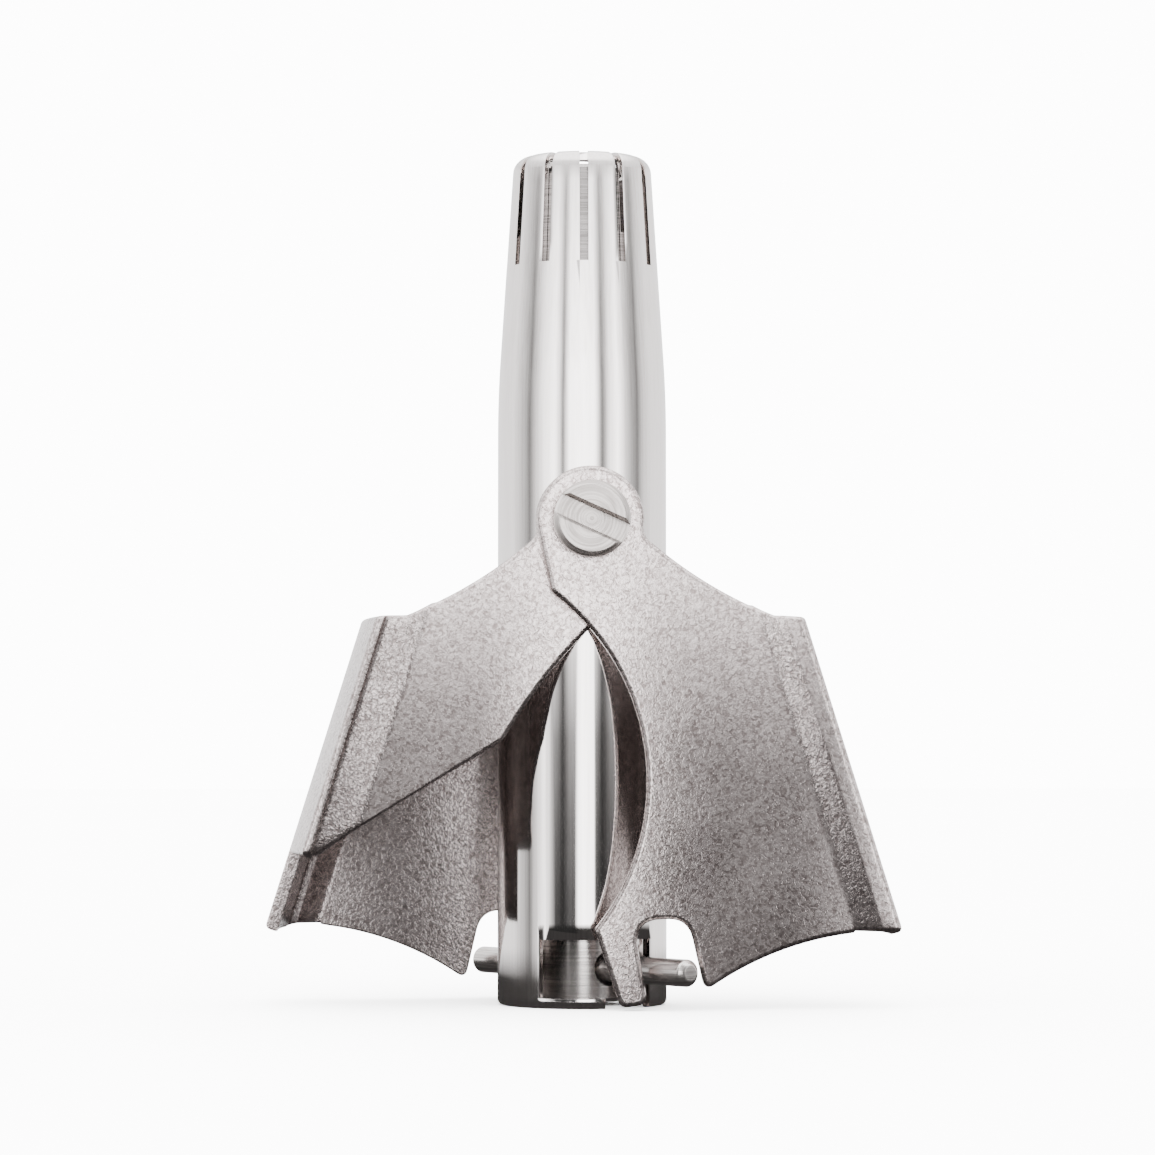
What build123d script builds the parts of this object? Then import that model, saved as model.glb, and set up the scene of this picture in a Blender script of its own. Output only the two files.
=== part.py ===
"""Squeeze-action rotary nose hair trimmer in stainless steel.

Two folded sheet-metal levers turn on a pair of slotted shoulder screws on a slotted barrel. Each lever
ends in a hook that holds one end of a cross pin, so that squeezing the levers turns the cutter in the
barrel's head. A coil spring in the barrel turns everything back.

Frame: millimetres, +Z up the barrel's axis towards its cutting head, Y along the lever pivots, and the
origin on the axis at the barrel's base. The pieces repeat after half a turn about Z.
"""

import os

from build123d import *

# Barrel
BARREL_R = 6.5
BORE_R = 5.7
BARREL_H = 65.3
TAPER_Z = 46.7  # where the straight side would meet the tapered head
HEAD_R = 5.28  # the head's side, carried up to the top face
HEAD_WALL = 0.6
TOP_HOLE_R = 2.4
BASE_ROUND = 0.45
TAPER_BLEND = 90.0
TOP_ROUND = 1.25
TOP_INNER_ROUND = 0.6

# Cutting slots in the head
SLOT_COUNT = 12
SLOT_W = 0.66
SLOT_BOTTOM_Z = 56.7
SLOT_INNER_R = 3.5
SLOT_TURN = -2.8  # degrees from the pivot side

# Bayonet windows for the cross pin
WINDOW_LEFT = -3.65
WINDOW_RIGHT = 4.79
WINDOW_BOTTOM_Z = 0.78
WINDOW_TOP_Z = 5.2
GATE_LEFT = 1.15  # the gate lets the pin in from below
GATE_SLANT = 0.6
WINDOW_ROUNDS = [0.3, 0.15, 0.15, 0.3]
WINDOW_DEPTH_Y = 2.9
BELOW_BASE = -1.0

# Lever pivots
PIVOT_Z = 36.8
SHEET = 1.0
INNER_PLATE_Y = 6.8
PLATE_GAP = 0.1
OUTER_PLATE_Y = INNER_PLATE_Y + SHEET + PLATE_GAP
OUTER_FACE_Y = OUTER_PLATE_Y + SHEET
INNER_FACE_Y = INNER_PLATE_Y + SHEET
SHOULDER_R = 2.0
PIVOT_CLEARANCE = 0.05

# Lever handle, in the section across its length
HANDLE_TILT = 17.35
HANDLE_U = 14.0  # from the pivot axis to the handle's outer face
HANDLE_EDGE_U = 13.25
HANDLE_EDGE_Y = 8.3
LONG_RIDGE_Y = 9.75
SHORT_RIDGE_Y = 9.3
HANDLE_TOP = -7.2
HANDLE_BOTTOM = -30.9
LONG_RIDGE_OUTSIDE = [
    (10.3, OUTER_FACE_Y),
    (11.2, OUTER_FACE_Y + 0.2),
    (11.8, LONG_RIDGE_Y),
    (13.1, LONG_RIDGE_Y),
    (HANDLE_EDGE_U, HANDLE_EDGE_Y),
]
LONG_OUTSIDE_ROUNDS = [0.5, 0.6, 0.75]
SHORT_RIDGE_OUTSIDE = [
    (HANDLE_EDGE_U, -HANDLE_EDGE_Y),
    (13.15, -SHORT_RIDGE_Y),
    (12.2, -SHORT_RIDGE_Y),
    (12.05, -SHORT_RIDGE_Y + 0.55),
    (11.0, -INNER_FACE_Y - 0.6),
    (10.2, -INNER_FACE_Y),
]
SHORT_OUTSIDE_ROUNDS = [0.6, 0.25, 0.1, 0.4]
SHORT_RIDGE_INSIDE = [
    (10.4, -INNER_PLATE_Y),
    (12.1, -SHORT_RIDGE_Y + 1.1),
    (HANDLE_EDGE_U - SHEET, -HANDLE_EDGE_Y + 0.2),
    (HANDLE_EDGE_U - SHEET + 0.08, -HANDLE_EDGE_Y + 1),
]
SHORT_INSIDE_ROUNDS = [1.5, 0.05, 0.05]
LONG_RIDGE_INSIDE = [
    (HANDLE_EDGE_U - SHEET + 0.08, HANDLE_EDGE_Y - 1),
    (HANDLE_EDGE_U - SHEET, LONG_RIDGE_Y - SHEET - 0.1),
    (11.7, LONG_RIDGE_Y - SHEET - 0.1),
    (10.9, OUTER_PLATE_Y),
]
LONG_INSIDE_ROUNDS = [0.3, 0.4, 1.0]

# Lever plate outline, measured from the pivot
EYE_R = 4.05
EYE_END = (-3.96, -0.87)
NECK = (3.9, -1.1)
SHOULDER_MID = (8.1, -4.3)
SHOULDER_END = (13.8, HANDLE_TOP)
HOLLOW_START = (-2.96, -5.45)
HOLLOW_MID = (4.2, -19.63)
HOLLOW_END = (0.3, -30.7)
HOOK_BACK = (2.25, -36.55)
HOOK_LIP = (4.3, -36.35)
THROAT_LEFT = (3.15, -29.95)
THROAT_RIGHT = (7.35, -29.95)
HOOK_TIP = (8.6, -35.35)
HOOK_ROUNDS = [0.6, 0.9, 1.9, 1.9]
SKIRT_MID = (13.6, -32.6)
SKIRT_END = (21.5, HANDLE_BOTTOM)
BLANK_BOTTOM = (24.7, HANDLE_BOTTOM)  # past the handle's face, where the section trims the outline
BLANK_TOP = (17.3, -7.3)
HANDLE_CORNER = (17.0, HANDLE_TOP)
SHORT_MID = (2.0, -10.3)
SHORT_CORNER = (6.54, -16.6)
SHORT_TIP = (20.5, -25.1)
SHORT_SKIRT = (22.1, HANDLE_BOTTOM)
BOTH_ROUNDS = ((NECK, 1.2), (HOLLOW_START, 1.0), (HANDLE_CORNER, 0.9))
LONG_ROUNDS = ((HOLLOW_END, 0.5), (HOOK_TIP, 0.6), (SKIRT_END, 3.0))
SHORT_ROUNDS = ((SHORT_CORNER, 1.0),)
EDGE_ROUND = 0.4

# Cut in the handle's lower corner behind the lever, as (Y, height from the pivot)
RELIEF_INNER = [(5.3, -32), (5.4, -30.6)]
RELIEF_MID = (6.6, -27.2)
RELIEF_OUTER = [(9.2, -25.5), (11, -25.2), (11, -32)]

# Pivot screws
SCREW_R = 2.88
SCREW_H = 1.55
SCREW_CHAMFER = 0.36
DRIVE_SLOT_W = 1.5
DRIVE_SLOT_DEPTH = 0.75
DRIVE_SLOT_TURN = -24.0
HEAD_EDGE_ROUND = 0.12
WASHER_R = 2.75
WASHER_H = 0.2
WASHER_ROUND = 0.08
STACK_GAP = 0.03
THREAD_R = 1.5
THREAD_END_Y = 3.75
SHOULDER_END_Y = 5.2

# Pivot bush inside the barrel
BUSH_R = 5.68
BUSH_H = 7.0
SHAFT_R = 3.3
BUSH_CHAMFER = 0.25
RUNNING_CLEARANCE = 0.06
LEG_HOLE_DEPTH = 1.2

# Rotor
SHAFT_BOTTOM_Z = 0.3
STEP_CHAMFER = 0.3
HUB_BOTTOM_Z = 50.5
FLANGE_R = 5.1
FLANGE_H = 0.8
HUB_TOP_Z = 54.5
SPIGOT_R = 2.2
SPIGOT_TOP_Z = 55.0
CUTTER_BORE_R = 4.0
CUTTER_TOP_Z = 64.1
CUTTER_CLEARANCE = 0.06
CUTTER_TIP_SLANT = 0.5
BLADE_BORE_R = 3.7
BLADE_BORE_Z = 55.0
BLADE_COUNT = 8
BLADE_SLOT_Z = 59.1
BLADE_SLOT_W = 1.2
BLADE_TURN = 22.5  # degrees, so that a blade and not a gap stands behind the front slot
DOWEL_Z = 53.0
DOWEL_R = 0.5
DOWEL_END_GAP = 0.05
DOWEL_CHAMFER = 0.1

# Cross pin
PIN_R = 1.03
PIN_Z = 2.9
PIN_TURN = 35.0  # from the front towards +X with the levers open
PIN_HALF = 12.75
PIN_CHAMFER = 0.38
PIN_FIT = 0.01
SINK_R = 1.75
SINK_DEPTH = 1.5
PIN_END_ROUND = 0.12

# Return spring
WIRE_R = 0.35
COIL_R = 4.5
COIL_TURNS = 6.5  # ends opposite where it starts
LEG_BEND = 0.5
LEG_L = 0.5
LEG_CLEARANCE = 0.08

BUSH_BOTTOM_Z = PIVOT_Z - BUSH_H / 2
BUSH_TOP_Z = PIVOT_Z + BUSH_H / 2
SCREW_SEAT_Y = OUTER_FACE_Y + WASHER_H + 2 * STACK_GAP
TIP_SLANT_Z = CUTTER_TOP_Z - CUTTER_TIP_SLANT
COIL_BOTTOM_Z = BUSH_TOP_Z + WIRE_R + STACK_GAP
COIL_TOP_Z = HUB_BOTTOM_Z - WIRE_R - STACK_GAP
COIL_PITCH = (COIL_TOP_Z - COIL_BOTTOM_Z) / COIL_TURNS
FAR = 60.0  # longer than the levers and the barrel are wide

front_side = Plane.XZ
back_side = Plane((0, 0, 0), x_dir=(-1, 0, 0), z_dir=(0, 1, 0))
front_of_pivot = Plane((0, 0, PIVOT_Z), x_dir=(1, 0, 0), z_dir=(0, -1, 0))
back_of_pivot = Plane((0, 0, PIVOT_Z), x_dir=(-1, 0, 0), z_dir=(0, 1, 0))
across_handle = Plane((0, 0, PIVOT_Z)).rotated((180, HANDLE_TILT, 0))
beside_handle = Plane((15, 0, PIVOT_Z), x_dir=(0, 1, 0), z_dir=(1, 0, 0))
beside_pivot = Plane((0, 0, PIVOT_Z), x_dir=(0, 1, 0), z_dir=(1, 0, 0))
pivot_axis = Axis((0, 0, PIVOT_Z), (0, 1, 0))
pin_direction = Vector(0, -1, 0).rotate(Axis.Z, PIN_TURN)
along_pin = Plane((0, 0, PIN_Z), x_dir=(0, 0, 1), z_dir=pin_direction)
against_pin = Plane((0, 0, PIN_Z), x_dir=(0, 0, 1), z_dir=-pin_direction)


def bore_radius(z):
    """Radius of the tapered inner wall of the barrel's head at a height."""
    share = (z - TAPER_Z) / (BARREL_H - HEAD_WALL - TAPER_Z)
    return BORE_R + share * (HEAD_R - HEAD_WALL - BORE_R)


# Barrel: a drawn tube with a tapered, slotted head and two bayonet windows
with BuildPart() as barrel:
    with BuildSketch(Plane.XZ):
        with BuildLine():
            FilletPolyline(
                (BORE_R, 0),
                (BARREL_R, 0),
                (BARREL_R, TAPER_Z),
                (HEAD_R, BARREL_H),
                (TOP_HOLE_R, BARREL_H),
                radius=[BASE_ROUND, TAPER_BLEND, TOP_ROUND],
            )
            Line((TOP_HOLE_R, BARREL_H), (TOP_HOLE_R, BARREL_H - HEAD_WALL))
            FilletPolyline(
                (TOP_HOLE_R, BARREL_H - HEAD_WALL),
                (HEAD_R - HEAD_WALL, BARREL_H - HEAD_WALL),
                (BORE_R, TAPER_Z),
                (BORE_R, 0),
                radius=[TOP_INNER_ROUND, TAPER_BLEND],
            )
        make_face()
    revolve(axis=Axis.Z)
    with BuildSketch(Plane.XY.offset(SLOT_BOTTOM_Z)):
        with PolarLocations(0, SLOT_COUNT, start_angle=SLOT_TURN):
            with Locations((SLOT_INNER_R, 0)):
                Rectangle(BARREL_R, SLOT_W, align=(Align.MIN, Align.CENTER))
    extrude(amount=BARREL_H, mode=Mode.SUBTRACT)
    for window_plane in (front_side, back_side):
        with BuildSketch(window_plane.offset(WINDOW_DEPTH_Y)):
            with BuildLine():
                FilletPolyline(
                    (WINDOW_RIGHT, BELOW_BASE),
                    (WINDOW_RIGHT, WINDOW_TOP_Z),
                    (WINDOW_LEFT, WINDOW_TOP_Z),
                    (WINDOW_LEFT, WINDOW_BOTTOM_Z),
                    (GATE_LEFT, WINDOW_BOTTOM_Z),
                    (GATE_LEFT + GATE_SLANT, BELOW_BASE),
                    radius=WINDOW_ROUNDS,
                )
                Line((GATE_LEFT + GATE_SLANT, BELOW_BASE), (WINDOW_RIGHT, BELOW_BASE))
            make_face()
        extrude(amount=BARREL_R, mode=Mode.SUBTRACT)
    with Locations(front_of_pivot):
        Cylinder(SHOULDER_R + PIVOT_CLEARANCE, FAR, mode=Mode.SUBTRACT)
barrel.part.label = "barrel"

# Outline of the right lever seen from the front: the long hooked plate, and the short plate behind it
with BuildPart() as outline_block:
    with BuildSketch(front_of_pivot) as long_outline:
        with BuildLine():
            ThreePointArc(NECK, (0, EYE_R), EYE_END)
            Line(EYE_END, HOLLOW_START)
            ThreePointArc(HOLLOW_START, HOLLOW_MID, HOLLOW_END)
            FilletPolyline(
                HOLLOW_END,
                HOOK_BACK,
                HOOK_LIP,
                THROAT_LEFT,
                THROAT_RIGHT,
                HOOK_TIP,
                radius=HOOK_ROUNDS,
            )
            ThreePointArc(HOOK_TIP, SKIRT_MID, SKIRT_END)
            Polyline(SKIRT_END, BLANK_BOTTOM, BLANK_TOP, HANDLE_CORNER, SHOULDER_END)
            ThreePointArc(SHOULDER_END, SHOULDER_MID, NECK)
        make_face()
        for corner, radius in BOTH_ROUNDS + LONG_ROUNDS:
            fillet(long_outline.vertices().sort_by_distance(corner)[0], radius=radius)
    extrude(amount=LONG_RIDGE_Y + 1)
    with BuildSketch(front_of_pivot) as short_outline:
        with BuildLine():
            ThreePointArc(NECK, (0, EYE_R), EYE_END)
            Line(EYE_END, HOLLOW_START)
            ThreePointArc(HOLLOW_START, SHORT_MID, SHORT_CORNER)
            Polyline(SHORT_CORNER, SHORT_TIP, SHORT_SKIRT, BLANK_BOTTOM)
            Polyline(BLANK_BOTTOM, BLANK_TOP, HANDLE_CORNER, SHOULDER_END)
            ThreePointArc(SHOULDER_END, SHOULDER_MID, NECK)
        make_face()
        for corner, radius in BOTH_ROUNDS + SHORT_ROUNDS:
            fillet(short_outline.vertices().sort_by_distance(corner)[0], radius=radius)
    extrude(amount=-SHORT_RIDGE_Y - 1)

# Right lever: one folded sheet, its handle carried round from plate to plate with a raised ridge each side
with BuildPart() as right_lever:
    with BuildSketch(across_handle):
        with BuildLine():
            Line((-FAR, OUTER_FACE_Y), LONG_RIDGE_OUTSIDE[0])
            outer_long = FilletPolyline(*LONG_RIDGE_OUTSIDE, radius=LONG_OUTSIDE_ROUNDS)
            ThreePointArc(outer_long @ 1, (HANDLE_U, 0), (HANDLE_EDGE_U, -HANDLE_EDGE_Y))
            outer_short = FilletPolyline(*SHORT_RIDGE_OUTSIDE, radius=SHORT_OUTSIDE_ROUNDS)
            Line(outer_short @ 1, (-FAR, -INNER_FACE_Y))
            Line((-FAR, -INNER_FACE_Y), (-FAR, -INNER_PLATE_Y))
            FilletPolyline((-FAR, -INNER_PLATE_Y), *SHORT_RIDGE_INSIDE, radius=SHORT_INSIDE_ROUNDS)
            ThreePointArc(SHORT_RIDGE_INSIDE[-1], (HANDLE_U - SHEET, 0), LONG_RIDGE_INSIDE[0])
            FilletPolyline(*LONG_RIDGE_INSIDE, (-FAR, OUTER_PLATE_Y), radius=LONG_INSIDE_ROUNDS)
            Line((-FAR, OUTER_PLATE_Y), (-FAR, OUTER_FACE_Y))
        make_face()
    extrude(amount=FAR, both=True)
    add(outline_block.part, mode=Mode.INTERSECT)
    with BuildSketch(beside_handle):
        with BuildLine():
            Polyline(*RELIEF_INNER)
            ThreePointArc(RELIEF_INNER[-1], RELIEF_MID, RELIEF_OUTER[0])
            Polyline(*RELIEF_OUTER, RELIEF_INNER[0])
        make_face()
    extrude(amount=FAR, mode=Mode.SUBTRACT)
    with Locations(front_of_pivot):
        Cylinder(SHOULDER_R + PIVOT_CLEARANCE, FAR, mode=Mode.SUBTRACT)
    for plate_y in (-OUTER_FACE_Y, INNER_FACE_Y):
        plates = right_lever.faces().filter_by(Plane.XZ)
        level_faces = plates.filter_by_position(Axis.Y, plate_y - 0.01, plate_y + 0.01)
        rim = level_faces.sort_by(SortBy.AREA)[-1].outer_wire().edges()
        fillet(rim.filter_by(Axis((0, 0, 0), across_handle.z_dir), reverse=True), radius=EDGE_ROUND)
right_lever.part.label = "right_lever"

with BuildPart() as left_lever:
    add(right_lever.part, rotation=(0, 0, 180))
left_lever.part.label = "left_lever"

# Pivot screws: a slotted cheese head, a shoulder the levers turn on and a thread into the bush
with BuildPart() as front_pivot_screw:
    with BuildSketch(beside_pivot):
        with BuildLine():
            Polyline(
                (-SCREW_SEAT_Y - SCREW_H, 0),
                (-SCREW_SEAT_Y - SCREW_H, SCREW_R - SCREW_CHAMFER),
                (-SCREW_SEAT_Y - SCREW_H + SCREW_CHAMFER, SCREW_R),
                (-SCREW_SEAT_Y, SCREW_R),
                (-SCREW_SEAT_Y, SHOULDER_R),
                (-SHOULDER_END_Y, SHOULDER_R),
                (-SHOULDER_END_Y, THREAD_R),
                (-THREAD_END_Y, THREAD_R),
                (-THREAD_END_Y, 0),
                close=True,
            )
        make_face()
    revolve(axis=pivot_axis)
    fillet(front_pivot_screw.edges().filter_by(GeomType.CIRCLE).sort_by(Axis.Y)[:2], radius=HEAD_EDGE_ROUND)
    with BuildSketch(front_of_pivot.offset(SCREW_SEAT_Y + SCREW_H)):
        Rectangle(3 * SCREW_R, DRIVE_SLOT_W, rotation=DRIVE_SLOT_TURN)
    extrude(amount=-DRIVE_SLOT_DEPTH, mode=Mode.SUBTRACT)
front_pivot_screw.part.label = "front_pivot_screw"

with BuildPart() as rear_pivot_screw:
    add(front_pivot_screw.part, rotation=(0, 0, 180))
rear_pivot_screw.part.label = "rear_pivot_screw"

# Thin washers under the screw heads
with BuildPart() as front_washer:
    with BuildSketch(front_of_pivot.offset(OUTER_FACE_Y + STACK_GAP)):
        Circle(WASHER_R)
        Circle(SHOULDER_R + PIVOT_CLEARANCE, mode=Mode.SUBTRACT)
    extrude(amount=WASHER_H)
    fillet(front_washer.faces().sort_by(Axis.Y)[0].outer_wire().edges(), radius=WASHER_ROUND)
front_washer.part.label = "front_washer"

with BuildPart() as rear_washer:
    add(front_washer.part, rotation=(0, 0, 180))
rear_washer.part.label = "rear_washer"

# Pivot bush: a thick ring in the barrel that takes both screws and carries the rotor shaft
with BuildPart() as pivot_bush:
    with BuildSketch(Plane.XY.offset(BUSH_BOTTOM_Z)):
        Circle(BUSH_R)
        Circle(SHAFT_R + RUNNING_CLEARANCE, mode=Mode.SUBTRACT)
    extrude(amount=BUSH_H)
    chamfer(pivot_bush.edges().filter_by(GeomType.CIRCLE), length=BUSH_CHAMFER)
    with Locations(front_of_pivot):
        Cylinder(THREAD_R + PIN_FIT, 2 * BUSH_R, mode=Mode.SUBTRACT)
    for screw_face in (front_of_pivot, back_of_pivot):
        with BuildSketch(screw_face.offset(SHOULDER_END_Y - STACK_GAP)):
            Circle(SHOULDER_R + PIVOT_CLEARANCE)
        extrude(amount=BUSH_R, mode=Mode.SUBTRACT)
    with BuildSketch(Plane.XY.offset(BUSH_TOP_Z)):
        with Locations((COIL_R, -LEG_BEND)):
            Circle(WIRE_R + LEG_CLEARANCE)
    extrude(amount=-LEG_HOLE_DEPTH, mode=Mode.SUBTRACT)
pivot_bush.part.label = "pivot_bush"

# Rotor shaft: drilled and countersunk across its foot for the cross pin, stepped at the top for the hub
with BuildPart() as rotor_shaft:
    with BuildSketch(Plane.XZ):
        with BuildLine():
            Polyline(
                (0, SHAFT_BOTTOM_Z),
                (SHAFT_R - STEP_CHAMFER, SHAFT_BOTTOM_Z),
                (SHAFT_R, SHAFT_BOTTOM_Z + STEP_CHAMFER),
                (SHAFT_R, HUB_BOTTOM_Z),
                (SPIGOT_R, HUB_BOTTOM_Z),
                (SPIGOT_R, SPIGOT_TOP_Z - STEP_CHAMFER),
                (SPIGOT_R - STEP_CHAMFER, SPIGOT_TOP_Z),
                (0, SPIGOT_TOP_Z),
                close=True,
            )
        make_face()
    revolve(axis=Axis.Z)
    with Locations(along_pin):
        Cylinder(PIN_R + PIN_FIT, 3 * SHAFT_R, mode=Mode.SUBTRACT)
    for sink_face in (along_pin, against_pin):
        with Locations(sink_face.offset(SHAFT_R)):
            Cone(PIN_R, SINK_R, SINK_DEPTH, mode=Mode.SUBTRACT)
    with Locations((0, 0, DOWEL_Z)):
        Cylinder(DOWEL_R, 3 * SPIGOT_R, rotation=(0, 90, 0), mode=Mode.SUBTRACT)
rotor_shaft.part.label = "rotor_shaft"

# Cutter hub: pressed on the shaft's spigot, with a flange that seats the return spring
with BuildPart() as cutter_hub:
    with BuildSketch(Plane.XZ):
        with BuildLine():
            Polyline(
                (SPIGOT_R, HUB_BOTTOM_Z),
                (FLANGE_R, HUB_BOTTOM_Z),
                (FLANGE_R, HUB_BOTTOM_Z + FLANGE_H),
                (CUTTER_BORE_R, HUB_BOTTOM_Z + FLANGE_H),
                (CUTTER_BORE_R, HUB_TOP_Z - STEP_CHAMFER),
                (CUTTER_BORE_R - STEP_CHAMFER, HUB_TOP_Z),
                (SPIGOT_R, HUB_TOP_Z),
                close=True,
            )
        make_face()
    revolve(axis=Axis.Z)
    with Locations((0, 0, DOWEL_Z)):
        Cylinder(DOWEL_R, 3 * CUTTER_BORE_R, rotation=(0, 90, 0), mode=Mode.SUBTRACT)
    with BuildSketch(Plane.XY.offset(HUB_BOTTOM_Z)):
        with Locations((-COIL_R, -LEG_BEND)):
            Circle(WIRE_R + LEG_CLEARANCE)
    extrude(amount=FLANGE_H, mode=Mode.SUBTRACT)
cutter_hub.part.label = "cutter_hub"

# Dowel that locks the hub to the spigot
with BuildPart(Plane.YZ) as hub_dowel:
    with Locations((0, DOWEL_Z, 0)):
        Cylinder(DOWEL_R, 2 * (CUTTER_BORE_R - DOWEL_END_GAP))
    chamfer(hub_dowel.edges().filter_by(GeomType.CIRCLE), length=DOWEL_CHAMFER)
hub_dowel.part.label = "hub_dowel"

# Cutter: a thin sleeve that runs just inside the head, its upper half split into blades
with BuildPart() as cutter:
    with BuildSketch(Plane.XZ):
        with BuildLine():
            Polyline(
                (CUTTER_BORE_R, HUB_BOTTOM_Z + FLANGE_H),
                (bore_radius(HUB_BOTTOM_Z + FLANGE_H) - CUTTER_CLEARANCE, HUB_BOTTOM_Z + FLANGE_H),
                (bore_radius(TIP_SLANT_Z) - CUTTER_CLEARANCE, TIP_SLANT_Z),
                (bore_radius(CUTTER_TOP_Z) - CUTTER_TIP_SLANT, CUTTER_TOP_Z),
                (BLADE_BORE_R, CUTTER_TOP_Z),
                (BLADE_BORE_R, BLADE_BORE_Z),
                (CUTTER_BORE_R, BLADE_BORE_Z - STEP_CHAMFER),
                close=True,
            )
        make_face()
    revolve(axis=Axis.Z)
    with BuildSketch(Plane.XY.offset(BLADE_SLOT_Z)):
        with PolarLocations(0, BLADE_COUNT, start_angle=BLADE_TURN):
            with Locations((SPIGOT_R, 0)):
                Rectangle(BARREL_R, BLADE_SLOT_W, align=(Align.MIN, Align.CENTER))
    extrude(amount=BARREL_H, mode=Mode.SUBTRACT)
cutter.part.label = "cutter"

# Cross pin: through the shaft's foot, its two ends in the lever hooks
with BuildPart() as cross_pin:
    with Locations(along_pin):
        Cylinder(PIN_R, 2 * PIN_HALF)
    chamfer(cross_pin.edges().filter_by(GeomType.CIRCLE), length=PIN_CHAMFER)
    fillet(cross_pin.edges().filter_by(GeomType.CIRCLE), radius=PIN_END_ROUND)
cross_pin.part.label = "cross_pin"

# Return spring: round wire coiled about the shaft, one leg in the bush and one in the hub
with BuildPart() as return_spring:
    with BuildLine() as wire_path:
        coil = Helix(
            pitch=COIL_PITCH,
            height=COIL_TOP_Z - COIL_BOTTOM_Z,
            radius=COIL_R,
            center=(0, 0, COIL_BOTTOM_Z),
        )
        low_bend = TangentArc(coil @ 0, coil @ 0 + Vector(0, -LEG_BEND, -LEG_BEND), tangent=-(coil % 0))
        Line(low_bend @ 1, low_bend @ 1 + Vector(0, 0, -LEG_L))
        high_bend = TangentArc(coil @ 1, coil @ 1 + Vector(0, -LEG_BEND, LEG_BEND), tangent=coil % 1)
        Line(high_bend @ 1, high_bend @ 1 + Vector(0, 0, LEG_L))
    with BuildSketch(Plane(wire_path.line @ 0, z_dir=wire_path.line % 0)):
        Circle(WIRE_R)
    sweep(is_frenet=True)
return_spring.part.label = "return_spring"

os.makedirs("parts", exist_ok=True)
export_step(barrel.part, "parts/barrel.step")
export_step(right_lever.part, "parts/right_lever.step")
export_step(left_lever.part, "parts/left_lever.step")
export_step(front_pivot_screw.part, "parts/front_pivot_screw.step")
export_step(rear_pivot_screw.part, "parts/rear_pivot_screw.step")
export_step(front_washer.part, "parts/front_washer.step")
export_step(rear_washer.part, "parts/rear_washer.step")
export_step(pivot_bush.part, "parts/pivot_bush.step")
export_step(rotor_shaft.part, "parts/rotor_shaft.step")
export_step(cutter_hub.part, "parts/cutter_hub.step")
export_step(hub_dowel.part, "parts/hub_dowel.step")
export_step(cutter.part, "parts/cutter.step")
export_step(cross_pin.part, "parts/cross_pin.step")
export_step(return_spring.part, "parts/return_spring.step")
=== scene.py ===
"""Squeeze-action rotary nose hair trimmer in stainless steel, dressed for a studio picture.

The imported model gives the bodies, the joints and the overall sizes. This script puts finer meshes in
place of the pieces that show, gives every piece its metal, and sets up the floor, the light and the
camera. Sizes are in millimetres until a mesh is written. Z is the height above the barrel's base, and
the pieces repeat after half a turn about Z.
"""

from __future__ import annotations

import logging
import math
from collections.abc import Callable
from dataclasses import dataclass, field
from enum import Enum

import bmesh
import bpy
from mathutils import Matrix, Vector


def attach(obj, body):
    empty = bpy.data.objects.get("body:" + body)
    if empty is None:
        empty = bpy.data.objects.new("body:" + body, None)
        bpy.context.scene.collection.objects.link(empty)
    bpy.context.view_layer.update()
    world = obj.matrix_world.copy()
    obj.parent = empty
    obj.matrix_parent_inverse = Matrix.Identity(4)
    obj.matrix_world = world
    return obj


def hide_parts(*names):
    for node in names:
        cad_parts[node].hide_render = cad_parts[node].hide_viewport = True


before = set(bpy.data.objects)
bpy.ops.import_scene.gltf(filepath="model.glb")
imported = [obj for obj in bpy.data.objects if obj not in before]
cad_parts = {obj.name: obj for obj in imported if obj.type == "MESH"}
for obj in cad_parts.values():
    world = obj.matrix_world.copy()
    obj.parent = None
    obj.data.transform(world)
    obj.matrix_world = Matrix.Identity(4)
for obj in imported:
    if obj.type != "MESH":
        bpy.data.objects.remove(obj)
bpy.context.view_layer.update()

MM = 0.001
PIVOT_Z = 36.8

log = logging.getLogger("trimmer")

Point = tuple[float, float]
Run = list[Point]


class Side(Enum):
    """Which of two pieces that repeat after half a turn, as degrees about Z."""

    RIGHT = 0.0
    LEFT = 180.0


class Grain(Enum):
    """How a steel surface was made, which sets the lie of its marks."""

    TUMBLED = "pebbled all over, with no direction"
    DRAWN = "fine lines up and down"
    GROUND = "fine rings round the upright axis"
    TURNED = "fine rings round the pivot axis"


# ---------------------------------------------------------------- drawing helpers


def arc(start: Point, middle: Point, end: Point, steps: int = 24) -> Run:
    """Points along the circular arc through three points.

    Args:
        start: First point.
        middle: Any point between the ends.
        end: Last point.
        steps: Number of chords.

    Returns:
        The steps + 1 points, ends included.
    """
    a, b, c = (complex(*p) for p in (start, middle, end))
    ratio = (c - a) / (b - a)
    centre = (b - a) * (ratio - abs(ratio) ** 2) / (2j * ratio.imag) + a
    turn = 0.0
    for p, q in ((a, b), (b, c)):
        step = (q - centre) / (p - centre)
        turn += math.atan2(step.imag, step.real)
    angles = (turn * k / steps for k in range(steps + 1))
    points = (centre + (a - centre) * complex(math.cos(t), math.sin(t)) for t in angles)
    return [(p.real, p.imag) for p in points]


def walk(run: Run, distance: float) -> tuple[Point, int]:
    """The point at a distance along a run, and the index of the run's next point."""
    for k in range(1, len(run)):
        step = math.dist(run[k - 1], run[k])
        if distance <= step:
            share = distance / step
            x = run[k - 1][0] + share * (run[k][0] - run[k - 1][0])
            y = run[k - 1][1] + share * (run[k][1] - run[k - 1][1])
            return (x, y), k
        distance -= step
    return run[-1], len(run) - 1


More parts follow.
